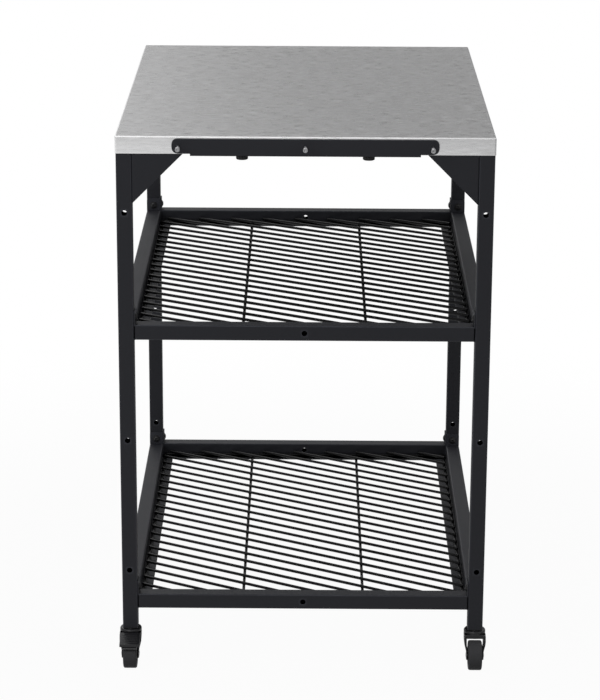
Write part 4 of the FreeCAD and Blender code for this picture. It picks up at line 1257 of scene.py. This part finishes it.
@dataclass
class Studio:
    """The floor, the lamps, the world and the camera."""

    eye: Point = (0.0060, -4.4504, 1.7756)
    yaw: float = -0.180
    pitch: float = 17.373
    roll: float = 0.300
    lens: float = 135.33
    shift: float = 0.0364
    sky: float = 0.34
    shine: tuple[tuple[float, float], ...] = (
        (0.0, 0.34), (0.11, 0.30), (0.22, 0.25), (0.31, 0.22), (0.42, 0.50), (0.6, 1.05), (0.75, 1.05), (0.9, 0.55))
    left_rise: tuple[float, float, float, float] = (-0.15, -0.025, 3.0, 1.0)
    left_fall: tuple[float, float, float, float] = (-0.6, -0.25, 1.0, 3.0)
    floor_reach: float = 30000.0
    floor_grey: float = 0.42
    floor_glow: tuple[float, float, float, float] = (0.5, 1.6, 0.96, 1.0)
    # painted light: the floor's glow as glossy rays see it, brighter at the left than at the right
    floor_reflection_glow: tuple[float, float, float, float] = (-1.6, 1.6, 0.95, 0.45)

    def camera(self) -> None:
        """The camera, turned by yaw, pitch and roll as fitted to the photograph's edges."""
        yaw, pitch, roll = (math.radians(value) for value in (self.yaw, self.pitch, self.roll))
        ahead = np.array([math.sin(yaw) * math.cos(pitch), math.cos(yaw) * math.cos(pitch), -math.sin(pitch)])
        right = np.array([math.cos(yaw), -math.sin(yaw), 0.0])
        up = np.cross(right, ahead)
        across = math.cos(roll) * right + math.sin(roll) * up
        upward = -math.sin(roll) * right + math.cos(roll) * up
        data = bpy.data.cameras.new("camera")
        data.lens = self.lens
        data.sensor_width = 36.0
        data.shift_y = self.shift
        data.clip_end = 50.0
        camera = bpy.data.objects.new("camera", data)
        bpy.context.scene.collection.objects.link(camera)
        turned = Matrix(np.column_stack([across, upward, -ahead]).tolist()).to_4x4()
        camera.matrix_world = Matrix.Translation(Vector(self.eye)) @ turned
        bpy.context.scene.camera = camera

    @staticmethod
    def lamp(name: str, spot: Point, aim: Point, size: float, watts: float) -> None:
        """A soft square lamp that shiny surfaces don't mirror.

        Args:
            name: the lamp's name.
            spot: where it stands.
            aim: what it points at.
            size: its width and height.
            watts: its power.
        """
        data = bpy.data.lights.new(name, "AREA")
        data.shape = "RECTANGLE"
        data.size = data.size_y = size
        data.energy = watts
        lamp = bpy.data.objects.new(name, data)
        bpy.context.scene.collection.objects.link(lamp)
        lamp.location = spot
        lamp.rotation_euler = (Vector(aim) - Vector(spot)).to_track_quat("-Z", "Y").to_euler()
        lamp.visible_glossy = False

    @staticmethod
    def spread(tree: Tree, source: Socket, span: tuple[float, float, float, float], curve: str = "LINEAR") -> Socket:
        """A value mapped from one span to another.

        Args:
            tree: the material's or world's nodes.
            source: the value.
            span: the ends of the first span and what they become.
            curve: how the values between the ends run.

        Returns:
            The mapped value.
        """
        inputs = dict(zip(("Value", "From Min", "From Max", "To Min", "To Max"), (source, *span)))
        return add_node(tree, "MapRange", inputs, interpolation_type=curve).outputs["Result"]

    def world(self) -> None:
        """A pale world: white to the camera, soft grey as light, and a profile of greys as shine.

        The shine's grey runs in straight lines between the (sine of the climb, grey) pairs, and
        is multiplied by a factor that swells from 1 to a soft light at the left.
        """
        world = bpy.data.worlds.new("studio")
        bpy.context.scene.world = world
        world.use_nodes = True
        tree = world.node_tree
        tree.nodes.clear()
        way = add_node(tree, "TexCoord").outputs["Generated"]
        split = add_node(tree, "SeparateXYZ", {0: way})
        climb = add_node(tree, "ValToRGB", {"Fac": split.outputs["Z"]})
        ramp = climb.color_ramp
        while len(ramp.elements) < len(self.shine):
            ramp.elements.new(0.5)
        for element, (place, grey) in zip(ramp.elements, self.shine):
            element.position = place
            element.color = (grey, grey, grey, 1.0)
        left = maths(tree, "MINIMUM", *(self.spread(tree, split.outputs["X"], span)
                                        for span in (self.left_rise, self.left_fall)))
        soft = add_node(tree, "Background", {"Strength": self.sky})
        shine = add_node(tree, "Background", {"Color": climb.outputs["Color"], "Strength": left})
        white = add_node(tree, "Background", {"Color": (1.0, 1.0, 1.0, 1.0)})
        path = add_node(tree, "LightPath").outputs
        inner = add_node(tree, "MixShader", {"Fac": path["Is Glossy Ray"], 1: soft.outputs[0], 2: shine.outputs[0]})
        outer = add_node(tree, "MixShader", {"Fac": path["Is Camera Ray"], 1: inner.outputs[0], 2: white.outputs[0]})
        add_node(tree, "OutputWorld", {"Surface": outer.outputs[0]})

    def floor(self) -> None:
        """A pale floor that looks white to the camera and keeps a soft shadow near the table.

        Its own glow takes a share of what the camera and glossy rays see; the share rises from
        the near value to 1 with the distance from the table. The camera sees it white; in
        reflections its glow is painted light, falling from a brighter grey at the left to a
        dimmer one at the right.
        """
        surface = Surface()
        line = np.array([-self.floor_reach, self.floor_reach])
        surface.grid(np.stack([*np.meshgrid(line, line), np.zeros((2, 2))], axis=-1))
        plane = bpy.data.objects.new("floor", surface.mesh("floor"))
        bpy.context.scene.collection.objects.link(plane)
        material = bpy.data.materials.new("pale_floor")
        material.use_nodes = True
        tree = material.node_tree
        shader = tree.nodes["Principled BSDF"]
        shader.inputs["Base Color"].default_value = (self.floor_grey, self.floor_grey, self.floor_grey, 1.0)
        shader.inputs["Roughness"].default_value = 0.9
        spot = add_node(tree, "TexCoord").outputs["Object"]
        path = add_node(tree, "LightPath").outputs
        across = add_node(tree, "SeparateXYZ", {0: spot}).outputs["X"]
        away = add_node(tree, "VectorMath", {0: spot}, operation="LENGTH").outputs["Value"]
        seen = maths(tree, "MAXIMUM", path["Is Camera Ray"], path["Is Glossy Ray"])
        share = maths(tree, "MULTIPLY", seen, self.spread(tree, away, self.floor_glow, "SMOOTHSTEP"))
        # painted reflection: glossy rays see the floor glow brighter at the left and dimmer at the right
        grey = self.spread(tree, across, self.floor_reflection_glow)
        pick = add_node(tree, "Mix", {0: path["Is Camera Ray"], 2: grey, 3: 1.0})
        glow = add_node(tree, "Emission", {"Strength": pick.outputs[0]})
        mix = add_node(tree, "MixShader", {"Fac": share, 1: shader.outputs["BSDF"], 2: glow.outputs["Emission"]})
        tree.links.new(mix.outputs[0], tree.nodes["Material Output"].inputs["Surface"])
        plane.data.materials.append(material)

    def build(self) -> None:
        """Sets up the studio."""
        self.camera()
        self.world()
        self.floor()
        self.lamp("key", (-2.6, -2.4, 2.6), (0.0, 0.0, 0.6), 1.8, 55.0)
        self.lamp("fill", (2.8, -2.2, 1.8), (0.0, 0.0, 0.5), 2.0, 12.0)
        self.lamp("top", (0.0, -0.7, 3.2), (0.0, -0.2, 0.8), 4.0, 36.0)
        bpy.context.scene.view_settings.view_transform = "Standard"


def main() -> None:
    """Builds the table's pieces in order, then the studio."""
    logging.basicConfig(level=logging.INFO)
    TopSheet().build()
    FrameTubes().build()
    Shelf("upper", 566.0).build()
    Shelf("lower", 102.0).build()
    CornerGussets().build()
    Fasteners().build()
    ToolRail().build()
    for name, (right, back) in CORNERS.items():
        Caster(name, right, back).build(braked=right < 0)
    KeptNodes().dress()
    Studio().build()


if __name__ == "__main__":
    main()
